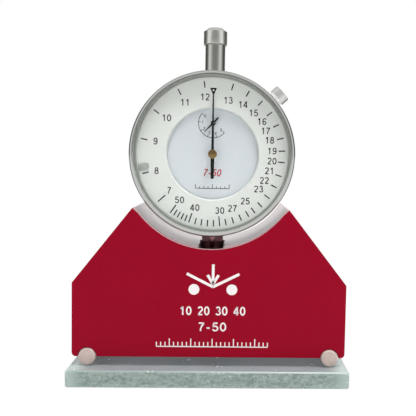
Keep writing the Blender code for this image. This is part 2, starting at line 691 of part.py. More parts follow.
def make_foot():
    half = FOOT_LENGTH / 2
    foot_z = FRAME_BASE
    foot = turned("measuring_foot", shaft(ROD_RADIUS, -half, half, ROD_CHAMFER), ROUND_STEPS)
    socket_bottom = foot_z + ROD_RADIUS - PLUNGER_RADIUS
    cut(foot, drill(PLUNGER_RADIUS / 2 + RUN, socket_bottom, COLLAR_BOTTOM, steps=TINY_ROUND_STEPS))
    place(foot, CERAMIC, (0, 0, foot_z), FACING_FRONT)

    shoulder = foot_z + ROD_RADIUS + SEAT
    profile = [(0, PLUNGER_TOP), (PLUNGER_RADIUS - PLUNGER_CHAMFER, PLUNGER_TOP),
               (PLUNGER_RADIUS, PLUNGER_TOP - PLUNGER_CHAMFER), (PLUNGER_RADIUS, COLLAR_TOP),
               (PLUNGER_COLLAR_RADIUS, COLLAR_TOP), (PLUNGER_COLLAR_RADIUS, COLLAR_BOTTOM),
               (PLUNGER_RADIUS, COLLAR_BOTTOM), (PLUNGER_RADIUS, shoulder),
               (PLUNGER_RADIUS / 2, shoulder), (PLUNGER_RADIUS / 2, socket_bottom + SEAT),
               (0, socket_bottom + SEAT)]
    place(turned("foot_plunger", profile, ROUND_STEPS), STEEL)

    spring_bottom = COLLAR_TOP + SEAT
    spring_top = GUIDE_FLANGE_BOTTOM - SEAT
    points = coil_points(FOOT_SPRING_RADIUS, FOOT_SPRING_TURNS, spring_bottom, spring_top,
                         2 * FOOT_SPRING_WIRE)
    print_least_gap("foot_spring", points[1:-1], FOOT_SPRING_WIRE, COIL_POINTS)
    place(wire("foot_spring", points, FOOT_SPRING_WIRE), STEEL)

    bore = PLUNGER_RADIUS + RUN
    top = STEM_BOTTOM - GUIDE_BUSH_TOP_GAP
    flange_top = CHAMBER_TOP - SEAT
    profile = [(BUSH_RADIUS, top), (BUSH_RADIUS, flange_top), (GUIDE_BUSH_FLANGE, flange_top),
               (GUIDE_BUSH_FLANGE, GUIDE_FLANGE_BOTTOM), (bore, GUIDE_FLANGE_BOTTOM), (bore, top)]
    place(turned("foot_guide_bush", profile, ROUND_STEPS, True), BRASS)


def make_base_cover():
    cover = block("base_cover", COVER_WIDTH, COVER_DEPTH, COVER_THICKNESS)
    middle = FRAME_BASE + COVER_THICKNESS / 2
    slot_cutter = block("foot_slot", 2 * (ROD_RADIUS + FOOT_SLOT_PLAY), FOOT_LENGTH + 2 * FOOT_SLOT_PLAY,
                        COVER_THICKNESS + 2 * OVERRUN)
    cut(cover, tool(slot_cutter, (0, 0, middle)))
    for name, side in (("base_screw_left", -1), ("base_screw_right", 1)):
        x = side * COVER_SCREW_HALF_SPAN
        sink = [(0, COVER_TOP + OVERRUN), (COVER_SCREW_SHANK + RUN, COVER_TOP + OVERRUN),
                (COVER_SCREW_SHANK + RUN, COVER_TOP), (COVER_SCREW_HEAD + 2 * RUN, FRAME_BASE - RUN),
                (0, FRAME_BASE - RUN)]
        cut(cover, tool(turned("countersink", sink, SMALL_ROUND_STEPS), (x, 0, 0)))
        top = FRAME_BASE + COVER_SCREW_LENGTH - SEAT
        profile = [(0, top), (COVER_SCREW_SHANK, top), (COVER_SCREW_SHANK, COVER_TOP),
                   (COVER_SCREW_HEAD, FRAME_BASE), (0, FRAME_BASE)]
        screw = turned(name, profile, TINY_ROUND_STEPS)
        cut(screw, tool(block("slot", COVER_SCREW_HEAD * 3, SEAT, COVER_THICKNESS / 2),
                        (x, 0, FRAME_BASE)))
        place(screw, STEEL, (x, 0, 0))
    place(cover, STEEL, (0, 0, middle))


def make_case():
    ledge_top = PLATE_BACK - SEAT
    ledge_inner = CASE_INNER - LEDGE_WIDTH
    profile = [(CASE_INNER, CASE_FRONT), (CASE_RADIUS - CASE_CHAMFER, CASE_FRONT),
               (CASE_RADIUS, CASE_FRONT - CASE_CHAMFER), (CASE_RADIUS, CASE_REAR),
               (CASE_INNER, CASE_REAR), (CASE_INNER, ledge_top - LEDGE_THICKNESS),
               (ledge_inner, ledge_top - LEDGE_THICKNESS), (ledge_inner, ledge_top),
               (CASE_INNER, ledge_top)]
    case = turned("indicator_case", profile, HIDDEN_ROUND_STEPS, True)
    place(case, SATIN, (0, 0, DIAL_Z), FACING_FRONT)
    boss_profile = shaft(CLAMP_BOSS_RADIUS, CASE_INNER + CASE_WALL / 2, CLAMP_BOSS_END)
    boss = turned("boss", boss_profile, SMALL_ROUND_STEPS)
    fuse(case, tool(boss, CLAMP_PLACE, RADIAL))
    cut(case,
        drill(CLAMP_SHANK_RADIUS + RUN, CASE_INNER - OVERRUN, CLAMP_BOSS_END + OVERRUN,
              CLAMP_PLACE, RADIAL, TINY_ROUND_STEPS),
        drill(STEM_RADIUS + RUN, DIAL_Z - CASE_RADIUS - OVERRUN, DIAL_Z - CASE_INNER + OVERRUN,
              steps=ROUND_STEPS),
        drill(SLEEVE_RADIUS + RUN, DIAL_Z + CASE_INNER - OVERRUN, DIAL_Z + CASE_RADIUS + OVERRUN,
              steps=ROUND_STEPS))
    for angle in MOVEMENT_SCREW_ANGLES:
        cut(case, drill(MOVEMENT_SCREW_SHANK + RUN, 0, PLATE_FRONT, on_dial(angle, MOVEMENT_SCREW_CIRCLE),
                        FACING_FRONT, TINY_ROUND_STEPS))

    outside = CASE_REAR - SEAT - BACK_THICKNESS
    spigot_radius = CASE_INNER - RUN
    spigot_top = CASE_REAR - SEAT + BACK_SPIGOT
    profile = [(0, spigot_top), (spigot_radius, spigot_top), (spigot_radius, CASE_REAR - SEAT),
               (CASE_RADIUS, CASE_REAR - SEAT), (CASE_RADIUS, outside + BACK_EDGE),
               (CASE_RADIUS - BACK_EDGE, outside), (0, outside)]
    back = turned("case_back", profile, HIDDEN_ROUND_STEPS)
    for side in (-1, 1):
        hole = drill(SPANNER_HOLE_RADIUS, outside - OVERRUN, outside + SPANNER_HOLE_DEPTH,
                     (side * SPANNER_HOLE_CIRCLE, 0, DIAL_Z), FACING_FRONT)
        cut(back, hole)
    place(back, SATIN, (0, 0, DIAL_Z), FACING_FRONT)


def on_dial(angle, radius, forward=0):
    """Place on the dial's face at an angle in degrees, counted from +X towards +Z."""
    turn = math.radians(angle)
    return (radius * math.cos(turn), -forward, DIAL_Z + radius * math.sin(turn))


def make_stem_and_sleeve():
    collar_top = DIAL_Z - CASE_RADIUS - SEAT
    inner = SPINDLE_RADIUS + RUN
    top = DIAL_Z - CASE_INNER - RUN
    profile = [(STEM_RADIUS, top), (STEM_RADIUS, collar_top), (STEM_COLLAR_RADIUS, collar_top),
               (STEM_COLLAR_RADIUS, collar_top - STEM_COLLAR_HEIGHT),
               (STEM_RADIUS, collar_top - STEM_COLLAR_HEIGHT), (STEM_RADIUS, STEM_BOTTOM),
               (inner, STEM_BOTTOM), (inner, top)]
    place(turned("indicator_stem", profile, ROUND_STEPS, True), CHROME)

    bottom = DIAL_Z + CASE_INNER + RUN
    place(turned("upper_sleeve", sleeve(inner, SLEEVE_RADIUS, bottom, SLEEVE_TOP), ROUND_STEPS, True),
          SATIN)

    cap_bottom = CAP_TOP - CAP_HEIGHT
    bore = SLEEVE_RADIUS + RUN
    profile = [(0, CAP_TOP), (CAP_RADIUS - CAP_CHAMFER, CAP_TOP), (CAP_RADIUS, CAP_TOP - CAP_CHAMFER),
               (CAP_RADIUS, cap_bottom + CAP_FOOT_CHAMFER), (CAP_RADIUS - CAP_FOOT_CHAMFER, cap_bottom),
               (bore, cap_bottom), (bore, CAP_TOP - CAP_CHAMFER - CAP_ROOF),
               (0, CAP_TOP - CAP_CHAMFER - CAP_ROOF)]
    place(turned("sleeve_cap", profile, ROUND_STEPS), SATIN)


def rack_cutter():
    """Everything outside the rack's teeth, on the spindle's left side, seen from the front."""
    tip_x = -(RACK_PITCH_LINE + ADDENDUM_SHARE * MODULE)
    root_x = -(RACK_PITCH_LINE - DEDENDUM_SHARE * MODULE)
    lowest = DIAL_Z + FIRST_Z - RACK_TEETH_BELOW_PINION * RACK_PITCH
    teeth = []
    for i in range(RACK_TEETH):
        centre = lowest + (i + 1 / 2) * RACK_PITCH
        for x, share in ((tip_x, -TOOTH_TIP_SHARE), (tip_x, TOOTH_TIP_SHARE), (root_x, 1)):
            teeth.append((x, centre + share * RACK_PITCH / 2))
    outside = -(SPINDLE_RADIUS + OVERRUN)
    loop = [(outside, lowest)] + [(root_x, lowest)] + teeth
    loop += [(outside, lowest + RACK_TEETH * RACK_PITCH)]
    cutter = extruded("rack_cutter", [loop], -2 * SPINDLE_RADIUS, 2 * SPINDLE_RADIUS)
    return tool(cutter, (0, 0, 0), FACING_FRONT)


def make_spindle():
    spindle_profile = shaft(SPINDLE_RADIUS, SPINDLE_BOTTOM, SPINDLE_TOP, SPINDLE_CHAMFER)
    spindle = turned("spindle", spindle_profile, ROUND_STEPS)
    pin_z = DIAL_Z - SPINDLE_PIN_DROP
    along_x = (0, math.pi / 2, 0)
    cut(spindle, rack_cutter(),
        drill(SPINDLE_PIN_RADIUS + PIVOT_PLAY, 0, SPINDLE_RADIUS + OVERRUN, (0, 0, pin_z), along_x,
              TINY_ROUND_STEPS))
    place(spindle, STEEL)

    pin = turned("spindle_pin", shaft(SPINDLE_PIN_RADIUS, SEAT, SPINDLE_PIN_REACH), TINY_ROUND_STEPS)
    place(pin, STEEL, (0, 0, pin_z), along_x)

    contact_top = SPINDLE_BOTTOM - SEAT
    contact_profile = shaft(CONTACT_RADIUS, PLUNGER_TOP + SEAT, contact_top, CONTACT_CHAMFER)
    place(turned("contact_point", contact_profile, SMALL_ROUND_STEPS), STEEL)


def make_spindle_guides():
    fork_front = BRIDGE_BACK - SEAT
    slot_half = SPINDLE_PIN_RADIUS + FORK_GAP_TO_PIN
    inner_x = SPINDLE_PIN_REACH - FORK_REACH / 2
    fork_depth = fork_front + slot_half + FORK_WIDTH / 2
    fork = block("guide_fork", FORK_REACH, fork_depth, FORK_HEIGHT)
    fork_middle = (inner_x + FORK_REACH / 2, -(fork_front - fork_depth / 2),
                   DIAL_Z - SPINDLE_PIN_DROP - FORK_HEIGHT / 2 + FOOT_STROKE)
    slot_cutter = block("fork_slot", FORK_REACH * 3 / 2, 2 * slot_half, FORK_HEIGHT + 2 * OVERRUN)
    cut(fork, tool(slot_cutter, (inner_x, 0, fork_middle[2])))
    place(fork, BRASS, fork_middle)

    top = DIAL_Z - SPINDLE_PIN_DROP - SPINDLE_PIN_RADIUS - SEAT
    bottom = top - RETURN_SPRING_LENGTH
    points = coil_points(RETURN_SPRING_RADIUS, RETURN_SPRING_TURNS, bottom, top, 2 * RETURN_SPRING_WIRE)
    print_least_gap("return_spring", points[1:-1], RETURN_SPRING_WIRE, COIL_POINTS)
    place(wire("return_spring", points, RETURN_SPRING_WIRE), STEEL, (RETURN_SPRING_X, 0, 0))

    post = turned("spring_post", shaft(SPRING_POST_RADIUS, BRIDGE_BACK - SEAT - SPRING_POST_LENGTH,
                                       BRIDGE_BACK - SEAT), TINY_ROUND_STEPS)
    post_z = bottom - SEAT - SPRING_POST_RADIUS
    place(post, STEEL, (RETURN_SPRING_X + RETURN_SPRING_RADIUS, 0, post_z), FACING_FRONT)


def make_movement_plates():
    arbor_spots = [(0, 0), (FIRST_X, FIRST_Z), (0, COUNTER_Z)]
    hole = ARBOR_RADIUS + RUN
    loops = [circle(CASE_INNER - SEAT, HIDDEN_ROUND_STEPS)]
    loops += [circle(hole, TINY_ROUND_STEPS, x, z) for x, z in arbor_spots]
    for angle in MOVEMENT_SCREW_ANGLES:
        x, _, z = on_dial(angle, MOVEMENT_SCREW_CIRCLE)
        loops.append(circle(MOVEMENT_SCREW_SHANK + RUN, TINY_ROUND_STEPS, x, z - DIAL_Z))
    plate = extruded("movement_plate", loops, PLATE_BACK, PLATE_FRONT)
    place(plate, BRASS, (0, 0, DIAL_Z), FACING_FRONT)

    for number, angle in enumerate(MOVEMENT_SCREW_ANGLES, 1):
        head_bottom = PLATE_FRONT + SEAT
        head_top = head_bottom + MOVEMENT_SCREW_HEAD_HEIGHT
        profile = [(0, head_top), (MOVEMENT_SCREW_HEAD, head_top), (MOVEMENT_SCREW_HEAD, head_bottom),
                   (MOVEMENT_SCREW_SHANK, head_bottom),
                   (MOVEMENT_SCREW_SHANK, head_bottom - MOVEMENT_SCREW_LENGTH),
                   (0, head_bottom - MOVEMENT_SCREW_LENGTH)]
        screw = turned(f"movement_screw_{number}", profile, TINY_ROUND_STEPS)
        place(screw, STEEL, on_dial(angle, MOVEMENT_SCREW_CIRCLE), FACING_FRONT)

    pillars = ((PILLAR_1_X, PILLAR_1_Z), (PILLAR_2_X, PILLAR_2_Z), (PILLAR_3_X, PILLAR_3_Z))
    for number, (x, z) in enumerate(pillars, 1):
        pillar = turned(f"pillar_{number}", shaft(PILLAR_RADIUS, BRIDGE_FRONT + SEAT, PLATE_BACK - SEAT),
                        SMALL_ROUND_STEPS)
        place(pillar, BRASS, (x, 0, DIAL_Z + z), FACING_FRONT)

    corners = [(PILLAR_2_X + BRIDGE_MARGIN, PILLAR_2_Z), (BRIDGE_MARGIN, BRIDGE_TOP),
               (-BRIDGE_MARGIN, BRIDGE_TOP), (PILLAR_1_X - BRIDGE_MARGIN, PILLAR_1_Z),
               (PILLAR_1_X, PILLAR_1_Z - BRIDGE_MARGIN), (FIRST_X - COCK_REACH, FIRST_Z - BRIDGE_MARGIN),
               (PILLAR_3_X - BRIDGE_MARGIN, PILLAR_3_Z - BRIDGE_MARGIN * 2),
               (PILLAR_3_X + BRIDGE_MARGIN, PILLAR_3_Z - BRIDGE_MARGIN)]
    loops = [corners] + [circle(hole, TINY_ROUND_STEPS, x, z) for x, z in arbor_spots]
    bridge = extruded("bridge", loops, BRIDGE_BACK, BRIDGE_FRONT)
    place(bridge, BRASS, (0, 0, DIAL_Z), FACING_FRONT)

    arm = arc(COCK_HALF_WIDTH, -90, 90, SMALL_ROUND_STEPS // 2)
    arm += arc(COCK_HALF_WIDTH, 90, 270, SMALL_ROUND_STEPS // 2, -COCK_REACH)
    cock = extruded("arbor_cock", [arm, circle(hole, TINY_ROUND_STEPS)], COCK_FRONT - COCK_THICKNESS,
                    COCK_FRONT)
    leg = turned("cock_leg", shaft(PILLAR_RADIUS, COCK_FRONT - COCK_THICKNESS / 2, BRIDGE_BACK - SEAT),
                 SMALL_ROUND_STEPS)
    spot = (FIRST_X, 0, DIAL_Z + FIRST_Z)
    fuse(cock, tool(leg, (FIRST_X - COCK_REACH, 0, DIAL_Z + FIRST_Z), FACING_FRONT))
    place(cock, BRASS, spot, FACING_FRONT)


def make_gear_train():
    to_centre = math.degrees(math.atan2(-FIRST_Z, -FIRST_X))
    pinion_step = 360 / CENTRE_PINION_TEETH
    pinion_first = to_centre + 180 + pinion_step / 2
    to_counter = 90
    lag = ((to_counter - pinion_first) / pinion_step) % 1
    counter_first = to_counter + 180 + (lag + 1 / 2) * 360 / COUNTER_GEAR_TEETH
    first_spot = (FIRST_X, 0, DIAL_Z + FIRST_Z)
    counter_spot = (0, 0, DIAL_Z + COUNTER_Z)
    bore = ARBOR_RADIUS + PIVOT_PLAY

    place(gear_disc("first_gear", FIRST_GEAR_TEETH, to_centre, bore), BRASS, first_spot, FACING_FRONT)
    place(gear_disc("counter_gear", COUNTER_GEAR_TEETH, counter_first, bore), BRASS, counter_spot,
          FACING_FRONT)

    half = RACK_PINION_LENGTH / 2
    loops = [tooth_loop(RACK_PINION_TEETH, 0), circle(bore, TINY_ROUND_STEPS)]
    place(extruded("rack_pinion", loops, -half, half), STEEL, first_spot, FACING_FRONT)

    rear = COCK_FRONT - COCK_THICKNESS + RUN
    place(turned("first_arbor", shaft(ARBOR_RADIUS, rear, PLATE_FRONT - RUN), TINY_ROUND_STEPS), STEEL,
          first_spot, FACING_FRONT)

    pinion = extruded("centre_arbor", [tooth_loop(CENTRE_PINION_TEETH, pinion_first)],
                      GEAR_BACK - PINION_OVERLAP, GEAR_FRONT + PINION_OVERLAP)
    centre_spot = (0, 0, DIAL_Z)
    front = POINTER_FRONT + HUB_HEIGHT / 2
    arbor = turned("arbor", shaft(ARBOR_RADIUS, BRIDGE_BACK + RUN, front), TINY_ROUND_STEPS)
    fuse(pinion, tool(arbor, centre_spot, FACING_FRONT))
    place(pinion, STEEL, centre_spot, FACING_FRONT)

    collet_bottom = HAIRSPRING_BACK - COLLET_HEIGHT / 2
    collet_top = HAIRSPRING_BACK + COLLET_HEIGHT / 2
    profile = [(0, COUNTER_HAND_FRONT + RUN), (PIVOT_RADIUS, COUNTER_HAND_FRONT + RUN),
               (PIVOT_RADIUS, PLATE_FRONT), (ARBOR_RADIUS, PLATE_FRONT), (ARBOR_RADIUS, collet_top),
               (COLLET_RADIUS, collet_top), (COLLET_RADIUS, collet_bottom), (ARBOR_RADIUS, collet_bottom),
               (ARBOR_RADIUS, BRIDGE_BACK + RUN), (0, BRIDGE_BACK + RUN)]
    place(turned("counter_arbor", profile, TINY_ROUND_STEPS), STEEL, counter_spot, FACING_FRONT)


def make_hairspring():
    count = HAIRSPRING_TURNS * HAIRSPRING_POINTS
    points = []
    for i in range(count + 1):
        angle = 2 * math.pi * i / HAIRSPRING_POINTS
        radius = HAIRSPRING_INNER + HAIRSPRING_PITCH * i / HAIRSPRING_POINTS
        points.append(Vector((radius * math.cos(angle), radius * math.sin(angle), HAIRSPRING_BACK)))
    print_least_gap("hairspring", points, HAIRSPRING_WIRE, HAIRSPRING_POINTS)
    place(wire("hairspring", points, HAIRSPRING_WIRE), STEEL, (0, 0, DIAL_Z + COUNTER_Z), FACING_FRONT)

    outer = points[-1].x + HAIRSPRING_WIRE + SEAT + STUD_PIN_RADIUS
    bottom = BRIDGE_FRONT + SEAT
    stud_profile = shaft(STUD_PIN_RADIUS, bottom, bottom + STUD_PIN_HEIGHT)
    stud = turned("hairspring_stud", stud_profile, TINY_ROUND_STEPS)
    place(stud, BRASS, (outer, 0, DIAL_Z + COUNTER_Z), FACING_FRONT)


def make_bezel():
    skirt = CASE_RADIUS + RUN + RUN / 2
    scale_seat = SCALE_FRONT + SEAT
    crystal_seat = scale_seat + LIP_THICKNESS
    crystal_wall = CRYSTAL_RADIUS + RUN * 2
    crest_outer = BEZEL_RADIUS - BEZEL_SHOULDER
    crest_inner = crest_outer - BEZEL_CREST_WIDTH
    rounding = BEZEL_ROUNDING
    profile = [(crest_inner, BEZEL_FRONT), (crest_outer, BEZEL_FRONT),
               (BEZEL_RADIUS - rounding / 4, BEZEL_FRONT - rounding / 3),
               (BEZEL_RADIUS, BEZEL_FRONT - rounding), (BEZEL_RADIUS, BEZEL_REAR + BEZEL_REAR_CHAMFER),
               (BEZEL_RADIUS - BEZEL_REAR_CHAMFER, BEZEL_REAR), (skirt, BEZEL_REAR), (skirt, scale_seat),
               (LIP_RADIUS, scale_seat), (LIP_RADIUS, crystal_seat), (crystal_wall, crystal_seat),
               (crystal_wall, BEZEL_FRONT - (crest_inner - crystal_wall))]
    dial_spot = (0, 0, DIAL_Z)
    place(turned("bezel", profile, LARGE_ROUND_STEPS, True), SATIN, dial_spot, FACING_FRONT)

    bottom = crystal_seat + SEAT
    edge = bottom + CRYSTAL_THICKNESS
    dome = [(CRYSTAL_RADIUS * i / CRYSTAL_RINGS, edge + CRYSTAL_DOME * (1 - (i / CRYSTAL_RINGS) ** 2))
            for i in range(CRYSTAL_RINGS + 1)]
    under = [(CRYSTAL_RADIUS, bottom), (0, bottom)]
    place(turned("crystal", dome + under, LARGE_ROUND_STEPS), GLASS, dial_spot, FACING_FRONT)

    scale_back = SCALE_FRONT - SCALE_THICKNESS
    ring_profile = sleeve(SCALE_INNER, SCALE_OUTER, scale_back, SCALE_FRONT)
    ring = turned("scale_ring", ring_profile, LARGE_ROUND_STEPS, True)
    place(ring, SILVERED, dial_spot, FACING_FRONT)

    retainer_top = scale_back - SEAT
    retainer = turned("scale_retainer", sleeve(SCALE_OUTER - RETAINER_WIDTH, SCALE_OUTER,
                                               retainer_top - RETAINER_THICKNESS, retainer_top),
                      HIDDEN_ROUND_STEPS, True)
    place(retainer, STEEL, dial_spot, FACING_FRONT)


def hand_outline(length, tail, tip_width, root_width, tail_width, eye):
    """A hand that points up, with a round eye on its axis and a straight tail."""
    right_start = math.degrees(math.acos(root_width / 2 / eye))
    right_end = -math.degrees(math.acos(tail_width / 2 / eye))
    side = arc(eye, right_start, right_end, SMALL_ROUND_STEPS // 2)
    right = [(tip_width / 2, length)] + side + [(tail_width / 2, -tail)]
    return right + [(-x, y) for x, y in reversed(right)]


def make_dial_and_hands():
    loops = [circle(INNER_DIAL_RADIUS, HIDDEN_ROUND_STEPS), circle(ARBOR_RADIUS + SEAT, TINY_ROUND_STEPS),
             circle(ARBOR_RADIUS + SEAT, TINY_ROUND_STEPS, 0, COUNTER_Z)]
    dial = extruded("inner_dial", loops, INNER_DIAL_FRONT - INNER_DIAL_THICKNESS, INNER_DIAL_FRONT)
    for side in (-1, 1):
        foot = turned("dial_foot", shaft(DIAL_FOOT_RADIUS, PLATE_FRONT + SEAT,
                                         INNER_DIAL_FRONT - INNER_DIAL_THICKNESS / 2), TINY_ROUND_STEPS)
        fuse(dial, tool(foot, (side * DIAL_FOOT_X, 0, DIAL_Z + DIAL_FOOT_Z), FACING_FRONT))
    dial_spot = (0, 0, DIAL_Z)
    place(dial, PALE_BLUE, dial_spot, FACING_FRONT)

    outline = hand_outline(POINTER_LENGTH, POINTER_TAIL, POINTER_TIP_WIDTH, POINTER_ROOT_WIDTH,
                           POINTER_TAIL_WIDTH, POINTER_EYE)
    bore = circle(ARBOR_RADIUS + PIVOT_PLAY, TINY_ROUND_STEPS)
    pointer = extruded("pointer", [outline, bore], POINTER_FRONT - POINTER_THICKNESS, POINTER_FRONT)
    place(pointer, BLACK, dial_spot, FACING_FRONT)

    hub_bottom = POINTER_FRONT + RUN
    hub_top = hub_bottom + HUB_HEIGHT
    roof = hub_top - HUB_CHAMFER
    inner = ARBOR_RADIUS + PIVOT_PLAY
    profile = [(0, hub_top), (HUB_RADIUS - HUB_CHAMFER, hub_top), (HUB_RADIUS, roof),
               (HUB_RADIUS, hub_bottom), (inner, hub_bottom), (inner, roof), (0, roof)]
    place(turned("pointer_hub", profile, SMALL_ROUND_STEPS), BRASS, dial_spot, FACING_FRONT)

    outline = hand_outline(COUNTER_HAND_LENGTH, COUNTER_HAND_TAIL, COUNTER_HAND_TIP_WIDTH,
                           COUNTER_HAND_ROOT_WIDTH, COUNTER_HAND_ROOT_WIDTH, COUNTER_HAND_EYE)
    bore = circle(PIVOT_RADIUS + PIVOT_PLAY, TINY_ROUND_STEPS)
    hand = extruded("counter_hand", [outline, bore], COUNTER_HAND_FRONT - COUNTER_HAND_THICKNESS,
                    COUNTER_HAND_FRONT)
    hand.data.transform(Matrix.Rotation(math.radians(COUNTER_ANGLE - 90), 4, "Z"))
    place(hand, BLACK, (0, 0, DIAL_Z + COUNTER_Z), FACING_FRONT)


def make_clamp():
    shoe_end = CLAMP_SHOE_START + CLAMP_SHOE_THICKNESS
    shoe_front = BEZEL_REAR + CLAMP_SHOE_LIP
    shoe_depth = shoe_front - CLAMP_SHOE_REAR
    shoe = block("clamp_shoe", CLAMP_SHOE_WIDTH, shoe_depth, CLAMP_SHOE_THICKNESS)
    middle = (CLAMP_SHOE_START + shoe_end) / 2
    forward = (shoe_front + CLAMP_SHOE_REAR) / 2
    cut(shoe, drill(CLAMP_SHANK_RADIUS + RUN, CLAMP_SHOE_START - OVERRUN, shoe_end + OVERRUN,
                    CLAMP_PLACE, RADIAL, TINY_ROUND_STEPS))
    place(shoe, STEEL, on_dial(CLAMP_ANGLE, middle, forward), RADIAL)

    head_bottom = shoe_end + CLAMP_HEAD_GAP
    head_top = head_bottom + CLAMP_HEAD_HEIGHT
    knurls = []
    for i in range(CLAMP_KNURLS * 2):
        radius = CLAMP_HEAD_RADIUS - CLAMP_KNURL_DEPTH * (i % 2)
        turn = math.pi * i / CLAMP_KNURLS
        knurls.append((radius * math.cos(turn), radius * math.sin(turn)))
    screw = extruded("clamp_screw", [knurls], head_bottom, head_top)
    shank = turned("shank", shaft(CLAMP_SHANK_RADIUS, CLAMP_SHANK_END, (head_bottom + head_top) / 2),
                   TINY_ROUND_STEPS)
    fuse(screw, tool(shank, CLAMP_PLACE, RADIAL))
    place(screw, SATIN, CLAMP_PLACE, RADIAL)


make_glass()
make_rods()
make_block()
make_plates()
make_base_cover()
make_stem_fixing()
make_foot()
make_case()
make_stem_and_sleeve()
make_spindle()
make_spindle_guides()
make_movement_plates()
make_gear_train()
make_hairspring()
make_bezel()
make_dial_and_hands()
make_clamp()
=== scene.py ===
"""Looks of the screen mesh tension meter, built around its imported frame."""
import json
import math

import bmesh
import bpy
from mathutils import Matrix, Vector


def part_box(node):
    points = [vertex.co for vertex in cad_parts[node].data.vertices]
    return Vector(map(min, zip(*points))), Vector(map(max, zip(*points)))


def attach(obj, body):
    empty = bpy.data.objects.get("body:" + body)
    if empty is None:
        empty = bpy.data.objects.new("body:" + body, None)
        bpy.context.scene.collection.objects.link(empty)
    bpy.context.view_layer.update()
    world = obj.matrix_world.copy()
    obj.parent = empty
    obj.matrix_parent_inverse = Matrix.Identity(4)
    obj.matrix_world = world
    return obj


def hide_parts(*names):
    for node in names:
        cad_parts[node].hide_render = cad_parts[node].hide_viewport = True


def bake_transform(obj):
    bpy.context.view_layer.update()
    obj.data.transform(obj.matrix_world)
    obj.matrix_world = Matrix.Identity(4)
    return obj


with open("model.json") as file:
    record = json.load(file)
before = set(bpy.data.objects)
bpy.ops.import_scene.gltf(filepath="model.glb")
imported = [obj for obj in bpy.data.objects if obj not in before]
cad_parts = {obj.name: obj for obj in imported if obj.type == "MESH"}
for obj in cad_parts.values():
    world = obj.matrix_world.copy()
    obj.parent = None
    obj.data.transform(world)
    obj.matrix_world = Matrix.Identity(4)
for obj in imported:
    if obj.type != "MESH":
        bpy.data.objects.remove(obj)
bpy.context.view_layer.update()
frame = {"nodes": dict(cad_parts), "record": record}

MM = 0.001
MERGE = 0.0005 * MM
INK = 0.03 * MM
RELIEF_DEPTH = 0.02 * MM
SHARP = math.radians(32)
LATHE_STEPS = 180

# Shares of grain and turning marks in a finish, against the slow blotches
GRAIN_SHARE = 0.45
MARKS_SHARE = 0.4
GRAIN_IN_RELIEF = 0.3

# Places and sizes read from the frame
GLASS_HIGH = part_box("zero_glass")[1]
PLATE_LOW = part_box("front_plate")[0]
BEZEL_LOW, BEZEL_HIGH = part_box("bezel")
SCALE_LOW, SCALE_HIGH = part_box("scale_ring")
DISC_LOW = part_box("inner_dial")[0]
CRYSTAL_LOW, CRYSTAL_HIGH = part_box("crystal")
HUB_LOW, HUB_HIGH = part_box("pointer_hub")
COUNTER_LOW, COUNTER_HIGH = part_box("counter_arbor")
CAP_LOW, CAP_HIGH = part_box("sleeve_cap")
DIAL_Z = (BEZEL_LOW.z + BEZEL_HIGH.z) / 2
BEZEL_RADIUS = (BEZEL_HIGH.z - BEZEL_LOW.z) / 2
SCALE_RADIUS = (SCALE_HIGH.z - SCALE_LOW.z) / 2
CRYSTAL_RADIUS = (CRYSTAL_HIGH.z - CRYSTAL_LOW.z) / 2
HUB_RADIUS = (HUB_HIGH.x - HUB_LOW.x) / 2
COUNTER_Z = (COUNTER_LOW.z + COUNTER_HIGH.z) / 2 - DIAL_Z
DIAL_SPOT = (0, 0, DIAL_Z)
FACING_FRONT = (math.pi / 2, 0, 0)

# Bezel, with heights measured forward from the stem's axis
BEZEL_FRONT = -BEZEL_LOW.y
BEZEL_REAR = -BEZEL_HIGH.y
SCALE_FRONT = -SCALE_LOW.y
SCALE_BACK = -SCALE_HIGH.y
CRYSTAL_BACK = -CRYSTAL_HIGH.y
CRYSTAL_FRONT = -CRYSTAL_LOW.y
LIP_RADIUS = 26.7 * MM
CASE_SKIRT = 27.15 * MM
WALL_ROOM = 0.1 * MM
SEAT_ROOM = 0.3 * MM
WINDOW_EDGE = 1 * MM
CREST_INNER = 27.4 * MM
CREST_ROUNDING = 1.5 * MM
CREST_SLOPE = 1 * MM
REAR_CHAMFER = 0.5 * MM
KNURLS = 150
KNURL_DEPTH = 0.16 * MM
KNURL_LOW = 9.4 * MM
KNURL_HIGH = 12.6 * MM
SCALE_INNER = 16.05 * MM
SCALE_INNER_EDGE = 0.4 * MM
SCALE_INNER_DROP = 1.35 * MM

# Main scale: reading, angle of its line clockwise from the top, angle and radius of its number
SCALE_MARKS = [
    (7, 228, 229, 19.9), (8, 253.3, 252.4, 20.5), (9, 281.2, 281.7, 20.4), (10, 306, 307.2, 20.4),
    (11, 331, 331.1, 20.4), (12, 352.6, 351.6, 20.1), (13, 15.7, 15.4, 19.6), (14, 29.3, 30.7, 20.4),
    (15, 42.2, 43.9, 20.4), (16, 53.8, 55.6, 20.8), (17, 65, 65.4, 20.4), (18, 76.3, 75.3, 20.7),
    (19, 86.5, 86, 21), (20, 95.8, 95.6, 21.1), (21, 107, 105.3, 20.9), (22, 116.7, 115.9, 20.5),
    (23, 127, 126.1, 20.4), (24, 136, None, None), (25, 143.3, 144.2, 20.2), (26, 149, None, None),
    (27, 155.6, 158.9, 20.4), (28, 162.2, None, None), (29, 168.3, None, None), (30, 173.4, 171.8, 20.1),
    (40, 198.4, 197.4, 19.9), (50, 214.8, 214.8, 19.9)]
SHORT_LINES_PER_TEN = 5
LINE_OUTER = 25.6 * MM
LINE_INNER = 23.3 * MM
LONG_LINE_INNER = 22.1 * MM
LONG_LINES = (7, 30, 40, 50)
LINE_WIDTH = 0.42 * MM
NUMBER_HEIGHT = 2.3 * MM
NUMBER_WIDTH_SHARE = 1.1
INDEX_TOP = 23.1 * MM
INDEX_TIP = 20.3 * MM
INDEX_HALF_WIDTH = 1.2 * MM
INDEX_EYE = 0.32 * MM
INDEX_EYE_DROP = 0.85 * MM

